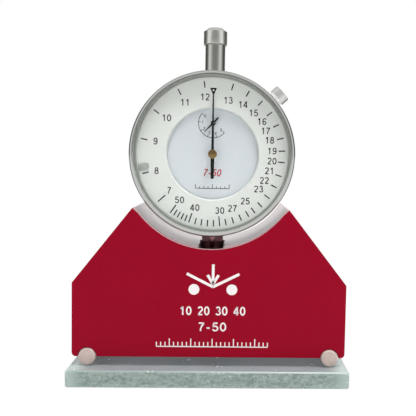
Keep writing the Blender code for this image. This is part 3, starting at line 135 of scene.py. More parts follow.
# Pointer with its boss, cap and thumbscrew
POINTER_EYE = 1.35 * MM
POINTER_BREADTH = 1.35
TAIL_BREADTH = 0.85
HUB_DOME = 0.35 * MM
CAP_DROP = 0.35 * MM
CAP_SLANT_WIDTH = 1.65 * MM
CAP_SLANT_HEIGHT = 1.3 * MM
CAP_FOOT = 0.35 * MM
CAP_WALL = 0.6 * MM
CAP_ROUNDING = 0.06 * MM
KNOB_ANGLE = math.radians(42.6)
KNOB_EDGE = 0.12 * MM
KNOB_KNURLS = 36
KNOB_KNURL_DEPTH = 0.07 * MM
KNOB_SHANK = 1 * MM

# Painted plates, and the rounding of small pieces
NOTCH_RADIUS = 32.7 * MM
NOTCH_HALF_ANGLE = math.radians(53)
NOTCH_DROP = 0.6 * MM
NOTCH_BEVEL = 0.5 * MM
PLATE_ROUNDING = 0.12 * MM
SMALL_ROUNDING = 0.08 * MM

# Glass block: rounding, the flecks of its ground skin, and its ends and rims painted paler as light
GLASS_ROUNDING = 0.12 * MM
GLASS_END = 7 * MM
GLASS_END_LIGHT_SHARE = 0.8
GLASS_RIM = 0.7 * MM
LOWER_RIM_HIGHLIGHT_SHARE = 0.7
FLECK_SIZE = 0.9 * MM
FLECK_STRETCH = (0.6, 1, 1)
FLECK_SHARE = 0.75
FLECK_RANGE = (0.42, 0.62)
LEVEL_FACE_LIMIT = 0.8

# Small counting dial
COUNTER_ARC_RADIUS = 5.2 * MM
COUNTER_ZERO = 140
COUNTER_STEP = 36
COUNTER_NUMBERS = 6
COUNTER_NUMBER_RADIUS = 3.75 * MM
COUNTER_NUMBER_HEIGHT = 1.05 * MM
COUNTER_ARC_WIDTH = 0.21 * MM
COUNTER_LINE = 0.75 * MM

# Plain prints: numbers, lines and a sketch of a stretched mesh that a foot presses down
PRINT_CENTRE_X = 1 * MM
SKETCH_Z = 38 * MM
SKETCH_HALF_WIDTH = 9.2 * MM
SKETCH_SAG = 3.6 * MM
SKETCH_RISE = 1 * MM
SKETCH_LINE = 0.95 * MM
SKETCH_DOT = 1.9 * MM
SKETCH_ARROW = 7 * MM
SKETCH_DOT_SHARE = 0.72
SKETCH_BARB_SHARE = 2.2
PLATE_PRINT_WEIGHT = 0.17
FIRST_ROW_Z = 25.9 * MM
SECOND_ROW_Z = 20.2 * MM
THIRD_ROW_Z = 14.6 * MM
ROW_HEIGHT = 3 * MM
FIRST_ROW_BREADTH = 1.08
SECOND_ROW_BREADTH = 1.3
RULE_HALF_WIDTH = 19.5 * MM
RULE_STEP = 1.5 * MM
RULE_LINE = 0.35 * MM
RULE_GROUP = 5
RULE_FIRST_LONG = 3
RULE_LONG_SHARE = 0.95
RULE_SHORT_SHARE = 0.55
RED_MARK_Z = 74.2 * MM
RED_MARK_HEIGHT = 2.5 * MM
RED_MARK_SLANT = 0.22
SMALL_RULE_Z = 68.6 * MM
SMALL_RULE_HALF_WIDTH = 6 * MM
SMALL_RULE_PARTS = 8
SMALL_RULE_GROUP = 4

# Small tongue under the window, at the left of the scale
TONGUE_ANGLE = 258.5
TONGUE_START = 26.2 * MM
TONGUE_END = 22.6 * MM
TONGUE_HALF_WIDTH = 1.15 * MM
TONGUE_FRONT = 13.1 * MM
TONGUE_THICKNESS = 0.15 * MM

# Camera of the photograph
CAMERA_PLACE = Vector((7.413, -225.51, 78.997)) * MM
CAMERA_PITCH = math.radians(-3.433)
CAMERA_YAW = math.radians(-1.996)
CAMERA_ROLL = math.radians(1.131)
IMAGE_WIDTH = 416
FOCAL_PIXELS = 602.108
AXIS_PIXEL = (253.862, 196.146)
SENSOR = 36

# Floor of the stage
FLOOR_HALF = 3
FLOOR_GAP = 0.05 * MM
PAPER_WHITE = (0.9, 0.9, 0.9, 1)

# Studio light; what metal reflects runs from straight in front (0) to straight behind (1)
LAMP_TARGET = (0, 0, 70 * MM)
AMBIENT_GLOW = 0.42
ROOM_REFLECTED = ((0, 0.3), (0.06, 0.32), (0.22, 1), (0.38, 1), (0.48, 0.26), (0.7, 0.1), (0.9, 0.05),
                  (0.94, 0.95), (1, 0.95))
CEILING_GLOW = 0.7
CEILING_RISE = (0.35, 0.7)
FLOOR_REFLECTED = ((0, 1), (0.5, 1), (0.56, 0.08), (0.85, 0.06), (1, 0.9))
FLOOR_REACH = 0.5
FLOOR_SEEN = 0.94
FLOOR_FADE = (0.25, 0.6)


def srgb(red, green, blue):
    """Linear colour of an 8-bit one."""
    shares = [value / 255 for value in (red, green, blue)]
    return [s / 12.92 if s <= 0.04045 else ((s + 0.055) / 1.055) ** 2.4 for s in shares] + [1]


def scaled(colour, factor):
    """A colour made lighter or darker."""
    return [min(1, part * factor) for part in colour[:3]] + [1]


# Materials

def add_node(tree, kind, inputs=None, **settings):
    """Add a shader node, with its inputs and settings."""
    node = tree.nodes.new(kind)
    for name, value in settings.items():
        setattr(node, name, value)
    for name, value in (inputs or {}).items():
        node.inputs[name].default_value = value
    return node


def feed(tree, socket, value):
    """Set an input to a constant, or link another node's output to it."""
    if isinstance(value, bpy.types.NodeSocket):
        tree.links.new(value, socket)
    else:
        socket.default_value = value


def object_point(tree, stretch=(1, 1, 1)):
    """Object coordinates, stretched for brushed or flowing grain."""
    coordinates = add_node(tree, "ShaderNodeTexCoord")
    mapping = add_node(tree, "ShaderNodeMapping", {"Scale": stretch})
    tree.links.new(coordinates.outputs["Object"], mapping.inputs["Vector"])
    return mapping.outputs["Vector"]


def noise(tree, point, size, detail=4, roughness=0.6):
    """Noise whose blotches are about this size."""
    node = add_node(tree, "ShaderNodeTexNoise",
                    {"Scale": 1 / size, "Detail": detail, "Roughness": roughness})
    tree.links.new(point, node.inputs["Vector"])
    return node.outputs["Fac"]


def ranged(tree, value, low, high, start=0.3, end=0.7):
    """Value that goes from low to high while another goes from start to end."""
    node = add_node(tree, "ShaderNodeMapRange",
                    {"From Min": start, "From Max": end, "To Min": low, "To Max": high})
    tree.links.new(value, node.inputs["Value"])
    return node.outputs["Result"]


def mixed(tree, factor, first, second):
    """Colour between two, each a colour or a socket."""
    node = add_node(tree, "ShaderNodeMix", data_type="RGBA")
    tree.links.new(factor, node.inputs["Factor"])
    feed(tree, node.inputs[6], first)
    feed(tree, node.inputs[7], second)
    return node.outputs[2]


def ramped(tree, value, stops):
    """Grey that follows a value through stops of (position, grey)."""
    node = add_node(tree, "ShaderNodeValToRGB")
    elements = node.color_ramp.elements
    while len(elements) < len(stops):
        elements.new(1)
    for element, (position, grey) in zip(elements, stops):
        element.position = position
        element.color = (grey, grey, grey, 1)
    tree.links.new(value, node.inputs["Fac"])
    return node.outputs["Color"]


def combined(tree, operation, first, second=0.0, third=0.0):
    """Result of a sum or comparison of values, each a number or a socket."""
    node = add_node(tree, "ShaderNodeMath", operation=operation)
    for socket, value in zip(node.inputs, (first, second, third)):
        feed(tree, socket, value)
    return node.outputs["Value"]


def weighted(tree, first, first_share, second, second_share):
    """Sum of two values, each times its share."""
    return combined(tree, "ADD", combined(tree, "MULTIPLY", first, first_share),
                    combined(tree, "MULTIPLY", second, second_share))


def blended(tree, factor, first, second):
    """Value between two, each a number or a socket."""
    node = add_node(tree, "ShaderNodeMix", data_type="FLOAT")
    for socket, value in zip(node.inputs[:1] + node.inputs[2:4], (factor, first, second)):
        feed(tree, socket, value)
    return node.outputs[0]


def turning_marks(tree, pitch, along):
    """Fine rings about local Z, told apart by radius on a face or by height on a barrel."""
    point = object_point(tree)
    split = add_node(tree, "ShaderNodeSeparateXYZ")
    tree.links.new(point, split.inputs["Vector"])
    place = split.outputs["Z"]
    if along == "radius":
        flat = add_node(tree, "ShaderNodeCombineXYZ")
        tree.links.new(split.outputs["X"], flat.inputs["X"])
        tree.links.new(split.outputs["Y"], flat.inputs["Y"])
        length = add_node(tree, "ShaderNodeVectorMath", operation="LENGTH")
        tree.links.new(flat.outputs["Vector"], length.inputs[0])
        place = length.outputs["Value"]
    marks = add_node(tree, "ShaderNodeTexNoise", {"Scale": 1 / pitch, "Detail": 3},
                     noise_dimensions="1D")
    tree.links.new(place, marks.inputs["W"])
    return marks.outputs["Fac"]


def surface(name, colour, metallic=0.0, roughness=0.4, grain=0.4 * MM, blotch=9 * MM, shade=0.08,
            rough_change=0.1, bump=0.15, marks=None, specular=0.5):
    """A finish with fine grain, slow blotches of tone and gloss, and turning marks if asked."""
    material = bpy.data.materials.new(name)
    material.use_nodes = True
    tree = material.node_tree
    shader = tree.nodes["Principled BSDF"]
    point = object_point(tree)
    fine = noise(tree, point, grain)
    slow = noise(tree, point, blotch, detail=3)
    both = weighted(tree, fine, GRAIN_SHARE, slow, 1 - GRAIN_SHARE)
    if marks:
        rings = turning_marks(tree, *marks)
        both = weighted(tree, both, 1 - MARKS_SHARE, rings, MARKS_SHARE)
        fine = weighted(tree, fine, GRAIN_IN_RELIEF, rings, 1)
    tone = mixed(tree, ranged(tree, both, 0, 1), scaled(colour, 1 - shade), scaled(colour, 1 + shade))
    tree.links.new(tone, shader.inputs["Base Color"])
    tree.links.new(ranged(tree, both, roughness - rough_change / 2, roughness + rough_change / 2),
                   shader.inputs["Roughness"])
    relief = add_node(tree, "ShaderNodeBump", {"Strength": bump, "Distance": RELIEF_DEPTH})
    tree.links.new(fine, relief.inputs["Height"])
    tree.links.new(relief.outputs["Normal"], shader.inputs["Normal"])
    shader.inputs["Metallic"].default_value = metallic
    shader.inputs["Specular IOR Level"].default_value = specular
    return material


def repainted(material, factor, colour):
    """Lay a second colour over a finish where a factor is 1."""
    tree = material.node_tree
    target = tree.nodes["Principled BSDF"].inputs["Base Color"]
    tree.links.new(mixed(tree, factor, target.links[0].from_socket, colour), target)


def glass_surface():
    """Thick greenish float glass with a ground skin of pale flecks. Its ends are painted paler as light,
    its top and bottom rims carry painted highlights, and its level faces are painted a lighter grey as a
    reflection.
    """
    material = surface("glass_block", srgb(136, 158, 150), roughness=0.24, grain=0.7 * MM,
                       blotch=6 * MM, shade=0.12, bump=0.07, specular=1)
    tree = material.node_tree
    skin = noise(tree, object_point(tree, FLECK_STRETCH), FLECK_SIZE, detail=5, roughness=0.8)
    flecks = ranged(tree, skin, 0, FLECK_SHARE, *FLECK_RANGE)
    split = add_node(tree, "ShaderNodeSeparateXYZ")
    tree.links.new(object_point(tree), split.inputs["Vector"])
    side = combined(tree, "ABSOLUTE", split.outputs["X"])
    # Paler towards both ends of the block: painted light.
    ends = ranged(tree, side, 0, GLASS_END_LIGHT_SHARE,
                  GLASS_HIGH.x - GLASS_END, GLASS_HIGH.x - GLASS_END / 4)
    rise = split.outputs["Z"]
    # Paler bands along the top and bottom rims of the upright faces: painted highlights on the edges.
    upper_rim_highlight = ranged(tree, rise, 0, 1, GLASS_HIGH.z - GLASS_RIM, GLASS_HIGH.z - INK)
    lower_rim_highlight = ranged(tree, rise, LOWER_RIM_HIGHLIGHT_SHARE, 0, INK, GLASS_RIM)
    rim_highlights = combined(tree, "MAXIMUM", upper_rim_highlight, lower_rim_highlight)
    facing = add_node(tree, "ShaderNodeSeparateXYZ")
    tree.links.new(add_node(tree, "ShaderNodeTexCoord").outputs["Normal"], facing.inputs["Vector"])
    upright = combined(tree, "LESS_THAN", combined(tree, "ABSOLUTE", facing.outputs["Z"]), LEVEL_FACE_LIMIT)
    # Pale flecks of the ground skin, together with the painted rim highlights, on the upright faces only.
    pale = combined(tree, "MULTIPLY", combined(tree, "MAXIMUM", flecks, rim_highlights), upright)
    # Level faces repainted a lighter grey: a painted reflection on the top of the block.
    repainted(material, combined(tree, "SUBTRACT", 1, upright), srgb(186, 192, 195))
    repainted(material, combined(tree, "MAXIMUM", pale, ends), srgb(216, 234, 228))
    shader = tree.nodes["Principled BSDF"]
    shader.inputs["Transmission Weight"].default_value = 0.55
    shader.inputs["IOR"].default_value = 1.5
    return material


def window_surface():
    """Thin clear window, almost unseen."""
    material = surface("window", srgb(120, 126, 124), roughness=0.06, shade=0.02, rough_change=0.03,
                       bump=0.02)
    shader = material.node_tree.nodes["Principled BSDF"]
    shader.inputs["Alpha"].default_value = 0.03
    return material


PAINT = surface("deep_red_paint", srgb(144, 3, 33), roughness=0.42, grain=0.35 * MM, blotch=14 * MM,
                shade=0.05, bump=0.12, specular=0.06)
CAST = surface("grey_anodised", srgb(230, 221, 222), metallic=0.6, roughness=0.34, grain=0.25 * MM,
               blotch=8 * MM, shade=0.04, bump=0.1)
BARE = surface("bare_edge", srgb(214, 176, 180), metallic=0.4, roughness=0.4, grain=0.25 * MM,
               blotch=3 * MM, shade=0.08, bump=0.15)
# Stem chrome with its base colour tinted dark red: a painted reflection of the red plates.
RED_TINTED_CHROME = surface("chrome_painted_red_reflection", srgb(138, 102, 106), metallic=1, roughness=0.14, grain=0.5 * MM,
                 shade=0.06, rough_change=0.06, bump=0.04, marks=(0.25 * MM, "height"))
SATIN_BARREL = surface("satin_chrome_barrel", srgb(196, 197, 190), metallic=1, roughness=0.24,
                       shade=0.06, bump=0.12, marks=(0.18 * MM, "height"))
SATIN_FACE = surface("satin_chrome_face", srgb(192, 195, 191), metallic=1, roughness=0.16,
                     shade=0.06, rough_change=0.04, bump=0.04, marks=(0.16 * MM, "radius"))
# Darker, duller finish for the bezel's inner wall: painted shade of the dark band inside the crest.
INNER_WALL_PAINTED_SHADE = surface("inner_wall_painted_shade", srgb(168, 172, 166), metallic=0.5, roughness=0.5, grain=0.3 * MM,
                    shade=0.06, bump=0.05)
SATIN_CAP = surface("satin_chrome_cap", srgb(222, 222, 216), metallic=1, roughness=0.26,
                    shade=0.06, bump=0.12, marks=(0.18 * MM, "height"))
KNOB = surface("knurled_steel", srgb(226, 226, 223), metallic=1, roughness=0.28, grain=0.25 * MM,
               blotch=0.7 * MM, shade=0.22, bump=0.3)
PAD = surface("pale_pad", srgb(242, 242, 240), roughness=0.5, grain=0.3 * MM, shade=0.03)
SATIN_BACK = surface("satin_chrome_back", srgb(192, 193, 189), metallic=1, roughness=0.45,
                     grain=0.2 * MM, shade=0.05, bump=0.1)
STEEL = surface("ground_steel", srgb(186, 186, 190), metallic=1, roughness=0.36, grain=0.2 * MM,
                bump=0.2)
BRASS = surface("machined_brass", srgb(150, 122, 76), metallic=1, roughness=0.3, grain=0.2 * MM,
                bump=0.15, marks=(0.15 * MM, "radius"))
ROD = surface("pale_rod_end", srgb(194, 176, 169), roughness=0.5, grain=0.5 * MM, blotch=1.6 * MM,
              shade=0.12, bump=0.25)
SILVERED = surface("silvered_scale", srgb(226, 230, 225), roughness=0.45, grain=0.2 * MM,
                   blotch=12 * MM, shade=0.02, bump=0.05)
PALE_BLUE = surface("pale_blue_dial", srgb(214, 221, 225), roughness=0.45, grain=0.2 * MM,
                    blotch=10 * MM, shade=0.02, bump=0.05)
BLACK = surface("black_paint", srgb(10, 10, 12), roughness=0.5, grain=0.2 * MM, shade=0.3, bump=0.1,
                specular=0.15)
GREY_INK = surface("dark_grey_ink", srgb(20, 22, 20), roughness=0.6, grain=0.2 * MM, shade=0.15,
                   specular=0.2)
WHITE_INK = surface("white_ink", srgb(238, 232, 232), roughness=0.55, grain=0.3 * MM, shade=0.04)
RED_INK = surface("red_ink", srgb(192, 34, 52), roughness=0.55, grain=0.3 * MM, shade=0.06,
                  specular=0.2)
TONGUE = surface("grey_tongue", srgb(178, 182, 178), roughness=0.5, metallic=0.2, shade=0.06)
GLASS = glass_surface()
WINDOW = window_surface()

NODE_FINISHES = {
    "red_paint": PAINT, "grey_body": CAST, "chrome": RED_TINTED_CHROME, "satin_metal": SATIN_BARREL, "steel": STEEL,
    "brass": BRASS, "pale_rod": ROD, "glass": GLASS, "crystal": WINDOW, "silvered": SILVERED,
    "pale_blue": PALE_BLUE, "black_paint": BLACK}
NODE_SLOTS = {part["node"]: part["material_slot"] for part in frame["record"]["subparts"]}
NODE_BODIES = {node: body for body, nodes in frame["record"]["behaviour"]["bodies"].items()
               for node in nodes}


def dress_nodes():
    """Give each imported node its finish."""
    for name, piece in frame["nodes"].items():
        piece.data.materials.clear()
        piece.data.materials.append(NODE_FINISHES[NODE_SLOTS[name]])


# Pieces

def add_object(name, data):
    """Put a mesh, a lamp or a camera in the scene."""
    thing = bpy.data.objects.new(name, data)
    bpy.context.scene.collection.objects.link(thing)
    return thing


def add_piece(name, mesh, material, body, location=(0, 0, 0), rotation=(0, 0, 0)):
    """Put a mesh in the scene as a piece that rides on a body."""
    piece = add_object(name, mesh)
    piece.location = location
    piece.rotation_euler = rotation
    mesh.materials.clear()
    mesh.materials.append(material)
    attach(piece, body)
    return piece


def shade(mesh):
    """Shade smooth, except across sharp edges."""
    mesh.shade_smooth()
    mesh.set_sharp_from_angle(angle=SHARP)


def soften(bm, width, segments=2):
    """Round off the sharp edges of a mesh."""
    sharp = [edge for edge in bm.edges if edge.is_manifold and edge.calc_face_angle(0) > SHARP]
    if sharp:
        bmesh.ops.bevel(bm, geom=sharp, offset=width, offset_type="OFFSET", segments=segments,
                        profile=0.6, affect="EDGES", clamp_overlap=True)


def to_mesh(name, bm):
    """End a shape's editing and make it a mesh."""
    mesh = bpy.data.meshes.new(name)
    bm.to_mesh(mesh)
    bm.free()
    return mesh


def cut_knurls(bm, outside, low, high, count, depth):
    """Press fine straight knurls into a barrel, between two heights."""
    for vert in bm.verts:
        radius = math.hypot(vert.co.x, vert.co.y)
        if radius > outside - MERGE and low < vert.co.z < high:
            cut = depth * (0.5 - 0.5 * math.cos(count * math.atan2(vert.co.y, vert.co.x)))
            vert.co.x *= 1 - cut / radius
            vert.co.y *= 1 - cut / radius


def lathe(name, profile, steps=LATHE_STEPS, closed=True, rounding=0.0, knurls=None):
    """Turn a profile of (radius, height) points about Z, and knurl it if asked."""
    bm = bmesh.new()
    verts = [bm.verts.new((radius, 0, height)) for radius, height in profile]
    edges = [bm.edges.new(pair) for pair in zip(verts, verts[1:])]
    if closed:
        edges.append(bm.edges.new((verts[-1], verts[0])))
    bmesh.ops.spin(bm, geom=verts + edges, cent=(0, 0, 0), axis=(0, 0, 1), angle=2 * math.pi,
                   steps=steps, use_merge=True)
    bmesh.ops.remove_doubles(bm, verts=bm.verts, dist=MERGE)
    bmesh.ops.dissolve_degenerate(bm, edges=bm.edges, dist=MERGE)
    bmesh.ops.recalc_face_normals(bm, faces=bm.faces)
    if rounding:
        soften(bm, rounding)
    if knurls:
        cut_knurls(bm, *knurls)
    mesh = to_mesh(name, bm)
    shade(mesh)
    return mesh


def node_shape(node):
    """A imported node's shape, with its flat faces whole again."""
    bm = bmesh.new()
    bm.from_mesh(frame["nodes"][node].data)
    bmesh.ops.remove_doubles(bm, verts=bm.verts, dist=MERGE)
    bmesh.ops.dissolve_limit(bm, angle_limit=math.radians(0.5), verts=bm.verts, edges=bm.edges)
    return bm


def stand_in(node, bm, material):
    """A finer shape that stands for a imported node, with its large faces shaded flat."""
    bmesh.ops.triangulate(bm, faces=[face for face in bm.faces if len(face.verts) > 4])
    marked = [face.material_index for face in bm.faces]
    mesh = to_mesh(node + "_fine", bm)
    for layer in ("custom_normal", "sharp_face"):
        if layer in mesh.attributes:
            mesh.attributes.remove(mesh.attributes[layer])
    shade(mesh)
    piece = add_piece(node + "_fine", mesh, material, NODE_BODIES[node])
    if any(marked):
        mesh.materials.append(BARE)
        mesh.polygons.foreach_set("material_index", marked)
    even = piece.modifiers.new("even_shading", "WEIGHTED_NORMAL")
    even.keep_sharp = True
    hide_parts(node)


def refined(node, rounding, material=None):
    """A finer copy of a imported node, with its edges rounded."""
    bm = node_shape(node)
    soften(bm, rounding)
    stand_in(node, bm, material or NODE_FINISHES[NODE_SLOTS[node]])


def make_spring(node, meter_end_on_top):
    """A copy of a coil spring's node in ground steel, in the node's place; the node is hidden."""
    mesh = frame["nodes"][node].data.copy()
    mesh.name = node + "_fine"
    mesh.materials.clear()
    mesh.materials.append(STEEL)
    shade(mesh)
    piece = add_object(node + "_fine", mesh)
    low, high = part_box(node)
    middle = (low + high) / 2
    ends = [Vector((middle.x, middle.y, high.z)), Vector((middle.x, middle.y, low.z))]
    if not meter_end_on_top:
        ends.reverse()
    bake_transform(piece)
    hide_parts(node)


def make_plate(node):
    """A painted plate with a bare bevel round its notch, which is a little deeper in the middle."""
    bm = node_shape(node)

    def on_notch(verts, reach):
        return all(math.hypot(v.co.x, v.co.z - DIAL_Z) < NOTCH_RADIUS + reach for v in verts)

    rim = [edge for edge in bm.edges if edge.calc_face_angle(0) > SHARP and on_notch(edge.verts, INK)
           and abs(edge.verts[0].co.y - edge.verts[1].co.y) < MERGE]
    bmesh.ops.bevel(bm, geom=rim, offset=NOTCH_BEVEL, offset_type="OFFSET", segments=1, affect="EDGES",
                    clamp_overlap=True)
    soften(bm, PLATE_ROUNDING)
    bmesh.ops.triangulate(bm, faces=[face for face in bm.faces if len(face.verts) > 4])
    for face in bm.faces:
        if on_notch(face.verts, NOTCH_BEVEL + PLATE_ROUNDING):
            face.material_index = 1
    for vert in bm.verts:
        if on_notch([vert], NOTCH_BEVEL + PLATE_ROUNDING):
            angle = math.atan2(abs(vert.co.x), DIAL_Z - vert.co.z)
            vert.co.z -= NOTCH_DROP * max(0, math.cos(angle / NOTCH_HALF_ANGLE * math.pi / 2))
    stand_in(node, bm, PAINT)


# Flat prints, drawn in a plane and given the thickness of the ink

def add_face(bm, points):
    """One flat face through points of the plane."""
    bm.faces.new([bm.verts.new((x, y, 0)) for x, y in points])


def add_bar(bm, start, end, width, end_width=None):
    """A straight stroke, which may taper."""
    first, last = Vector(start), Vector(end)
    side = (last - first).orthogonal().normalized()
    near, far = side * width / 2, side * (end_width or width) / 2
    add_face(bm, [first - near, last - far, last + far, first + near])


def on_circle(radius, degrees):
    """Point at an angle counted anticlockwise from +X."""
    return (radius * math.cos(math.radians(degrees)), radius * math.sin(math.radians(degrees)))


def on_dial(radius, degrees):
    """Point at an angle counted clockwise from the top of the dial."""
    return on_circle(radius, 90 - degrees)


def add_arc(bm, centre, radius, width, start, end, steps=48):
    """A curved stroke about a centre, with angles counted anticlockwise from +X."""
    angles = [start + (end - start) * i / steps for i in range(steps + 1)]
    outer = [Vector(centre) + Vector(on_circle(radius + width / 2, angle)) for angle in angles]
    inner = [Vector(centre) + Vector(on_circle(radius - width / 2, angle)) for angle in angles]
    for i in range(steps):
        add_face(bm, [outer[i], outer[i + 1], inner[i + 1], inner[i]])


def add_dot(bm, centre, radius, steps=32):
    """A filled disc."""
    add_face(bm, [Vector(centre) + Vector(on_circle(radius, 360 * i / steps)) for i in range(steps)])


def bend(x, y, wide, high, start, end, steps=14):
    """Points of a stroke that follows an ellipse, with angles counted anticlockwise from +X."""
    angles = [math.radians(start + (end - start) * i / steps) for i in range(steps + 1)]
    return [(x + wide * math.cos(angle), y + high * math.sin(angle)) for angle in angles]


# Middle lines of the strokes of each sign, one unit high
STROKES = {
    "0": [bend(0.27, 0.5, 0.22, 0.45, 90, 450, 24)],
    "1": [[(0.1, 0.74), (0.22, 0.82), (0.31, 0.97)], [(0.32, 1), (0.32, 0)]],
    "2": [bend(0.27, 0.71, 0.21, 0.24, 165, -35) + [(0.2, 0.25), (0.06, 0.06)],
          [(0.03, 0.05), (0.5, 0.05)]],
    "3": [bend(0.26, 0.73, 0.18, 0.22, 160, -90), bend(0.26, 0.28, 0.22, 0.23, 90, -160)],
    "4": [[(0.36, 0.95), (0.03, 0.3)], [(0, 0.27), (0.54, 0.27)], [(0.38, 1), (0.38, 0)]],
    "5": [[(0.48, 0.94), (0.13, 0.94)], [(0.14, 0.98), (0.08, 0.48)],
          bend(0.26, 0.32, 0.23, 0.27, 140, -160)],
    "6": [bend(0.27, 0.3, 0.21, 0.25, 90, 450, 20), bend(0.31, 0.5, 0.26, 0.45, 40, 185)],
    "7": [[(0.03, 0.94), (0.51, 0.94)], [(0.49, 0.93), (0.3, 0.6), (0.2, 0.28), (0.18, 0)]],
    "8": [bend(0.27, 0.74, 0.17, 0.21, 90, 450, 20), bend(0.27, 0.28, 0.22, 0.24, 90, 450, 20)],
    "9": [bend(0.27, 0.7, 0.21, 0.25, 90, 450, 20), bend(0.23, 0.5, 0.26, 0.45, -140, 5)],
    "-": [[(0.04, 0.36), (0.32, 0.36)]], " ": []}
SIGN_WIDTH = {" ": 0.4, "-": 0.4}
DIGIT_WIDTH = 0.56
SIGN_GAP = 0.14


def add_stroke(bm, points, width):
    """A ribbon of even width along a middle line."""
    points = [Vector(point) for point in points]
    for i, point in enumerate(points[:-1]):
        after = points[i + 1]
        sides = []
        for j in (i, i + 1):
            back = points[j] - points[j - 1] if j else after - point
            on = points[j + 1] - points[j] if j + 1 < len(points) else after - point
            sides.append((back.normalized() + on.normalized()).normalized().orthogonal() * width / 2)
        add_face(bm, [point - sides[0], after - sides[1], after + sides[1], point + sides[0]])


def add_text(bm, text, height, centre, width_share=1.0, slant=0.0, weight=0.15):
    """Plain numbers drawn with strokes, centred on a point."""
    widths = [SIGN_WIDTH.get(sign, DIGIT_WIDTH) for sign in text]
    place = -(sum(widths) + SIGN_GAP * (len(text) - 1)) / 2
    for sign, width in zip(text, widths):
        for stroke in STROKES[sign]:
            points = [((x + place) * width_share + (y - 0.5) * slant, y - 0.5) for x, y in stroke]
            points = [Vector(point) * height + Vector(centre) for point in points]
            add_stroke(bm, points, height * weight)
        place += width + SIGN_GAP


def printed(name, bm, material, body, location):
    """Turn flat faces into a thin layer of ink that faces the front."""
    bmesh.ops.recalc_face_normals(bm, faces=bm.faces)
    for face in bm.faces:
        if face.normal.z < 0:
            face.normal_flip()
    mesh = to_mesh(name, bm)
    piece = add_piece(name, mesh, material, body, location, FACING_FRONT)
    layer = piece.modifiers.new("ink", "SOLIDIFY")
    layer.thickness = INK
    layer.offset = 1
    return piece


def make_bezel():
    """The turning ring with its rounded crest and knurled rim; its inner wall is painted a darker, duller
    grey as shade.
    """
    crystal_wall = CRYSTAL_RADIUS + WALL_ROOM
    scale_seat = SCALE_FRONT + SEAT_ROOM
    crystal_seat = CRYSTAL_BACK - SEAT_ROOM
    flank = BEZEL_RADIUS - CREST_ROUNDING
    corner = [(flank + CREST_ROUNDING * math.sin(math.radians(a)),
               BEZEL_FRONT - CREST_ROUNDING * (1 - math.cos(math.radians(a))))
              for a in range(0, 91, 15)]
    band = [(BEZEL_RADIUS, KNURL_HIGH + KNURL_DEPTH), (BEZEL_RADIUS, KNURL_HIGH),
            (BEZEL_RADIUS, (KNURL_HIGH + KNURL_LOW) / 2), (BEZEL_RADIUS, KNURL_LOW),
            (BEZEL_RADIUS, KNURL_LOW - KNURL_DEPTH)]
    inside = [(BEZEL_RADIUS, BEZEL_REAR + REAR_CHAMFER), (BEZEL_RADIUS - REAR_CHAMFER, BEZEL_REAR),
              (CASE_SKIRT, BEZEL_REAR), (CASE_SKIRT, scale_seat), (LIP_RADIUS, scale_seat),
              (LIP_RADIUS, crystal_seat), (crystal_wall, crystal_seat),
              (crystal_wall, BEZEL_FRONT - CREST_SLOPE), (CREST_INNER, BEZEL_FRONT)]
    mesh = lathe("bezel_fine", corner + band + inside, steps=KNURLS * 4,
                 knurls=(BEZEL_RADIUS, KNURL_LOW - MERGE, KNURL_HIGH + MERGE, KNURLS, KNURL_DEPTH))
    # Faces inside the crest and in front of the scale seat take the darker finish: painted shade.
    inner = [math.hypot(*polygon.center[:2]) < CREST_INNER and polygon.center.z > scale_seat
             for polygon in mesh.polygons]
    piece = add_piece("bezel_fine", mesh, SATIN_FACE, "bezel_ring", DIAL_SPOT,
                      FACING_FRONT)
    mesh.materials.append(INNER_WALL_PAINTED_SHADE)
    mesh.polygons.foreach_set("material_index", inner)
    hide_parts("bezel")


def make_window():
    """The clear window, slightly domed."""
    edge = CRYSTAL_BACK + WINDOW_EDGE
    dome = CRYSTAL_FRONT - edge
    rings = 12
    profile = [(CRYSTAL_RADIUS * i / rings, edge + dome * (1 - (i / rings) ** 2))
               for i in range(rings + 1)]
    profile += [(CRYSTAL_RADIUS, CRYSTAL_BACK), (0, CRYSTAL_BACK)]
    mesh = lathe("window_fine", profile, closed=False)
    piece = add_piece("window_fine", mesh, WINDOW, "bezel_ring", DIAL_SPOT, FACING_FRONT)
    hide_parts("crystal")


def make_scale():
    """The ring scale with its lines, numbers and zero mark."""
    flat = SCALE_INNER + SCALE_INNER_EDGE
    profile = [(SCALE_RADIUS, SCALE_FRONT), (SCALE_RADIUS, SCALE_BACK), (flat, SCALE_BACK),
               (SCALE_INNER, SCALE_FRONT - SCALE_INNER_DROP), (flat, SCALE_FRONT)]
    mesh = lathe("scale_ring_fine", profile)
    piece = add_piece("scale_ring_fine", mesh, SILVERED, "bezel_ring", DIAL_SPOT,
                      FACING_FRONT)
    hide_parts("scale_ring")

    lines = bmesh.new()
    angles = {}
    for reading, line_angle, number_angle, number_radius in SCALE_MARKS:
        angles[reading] = line_angle
        inner = LONG_LINE_INNER if reading in LONG_LINES else LINE_INNER
        add_bar(lines, on_dial(inner, line_angle), on_dial(LINE_OUTER, line_angle), LINE_WIDTH)
        if number_radius:
            add_text(lines, str(reading), NUMBER_HEIGHT, on_dial(number_radius * MM, number_angle),
                     NUMBER_WIDTH_SHARE)
    for start, end in ((30, 40), (40, 50)):
        for i in range(1, SHORT_LINES_PER_TEN):
            angle = angles[start] + (angles[end] - angles[start]) * i / SHORT_LINES_PER_TEN
            add_bar(lines, on_dial(LINE_INNER, angle), on_dial(LINE_OUTER, angle), LINE_WIDTH)
    place = (0, -SCALE_FRONT, DIAL_Z)
    printed("scale_print", lines, GREY_INK, "bezel_ring", place)

    index = bmesh.new()
    add_face(index, [(-INDEX_HALF_WIDTH, INDEX_TOP), (INDEX_HALF_WIDTH, INDEX_TOP), (0, INDEX_TIP)])
    printed("zero_mark", index, BLACK, "bezel_ring", place)
    eye = bmesh.new()
    add_dot(eye, (0, INDEX_TOP - INDEX_EYE_DROP), INDEX_EYE)
    printed("zero_mark_eye", eye, SILVERED, "bezel_ring", (0, -SCALE_FRONT - INK, DIAL_Z))


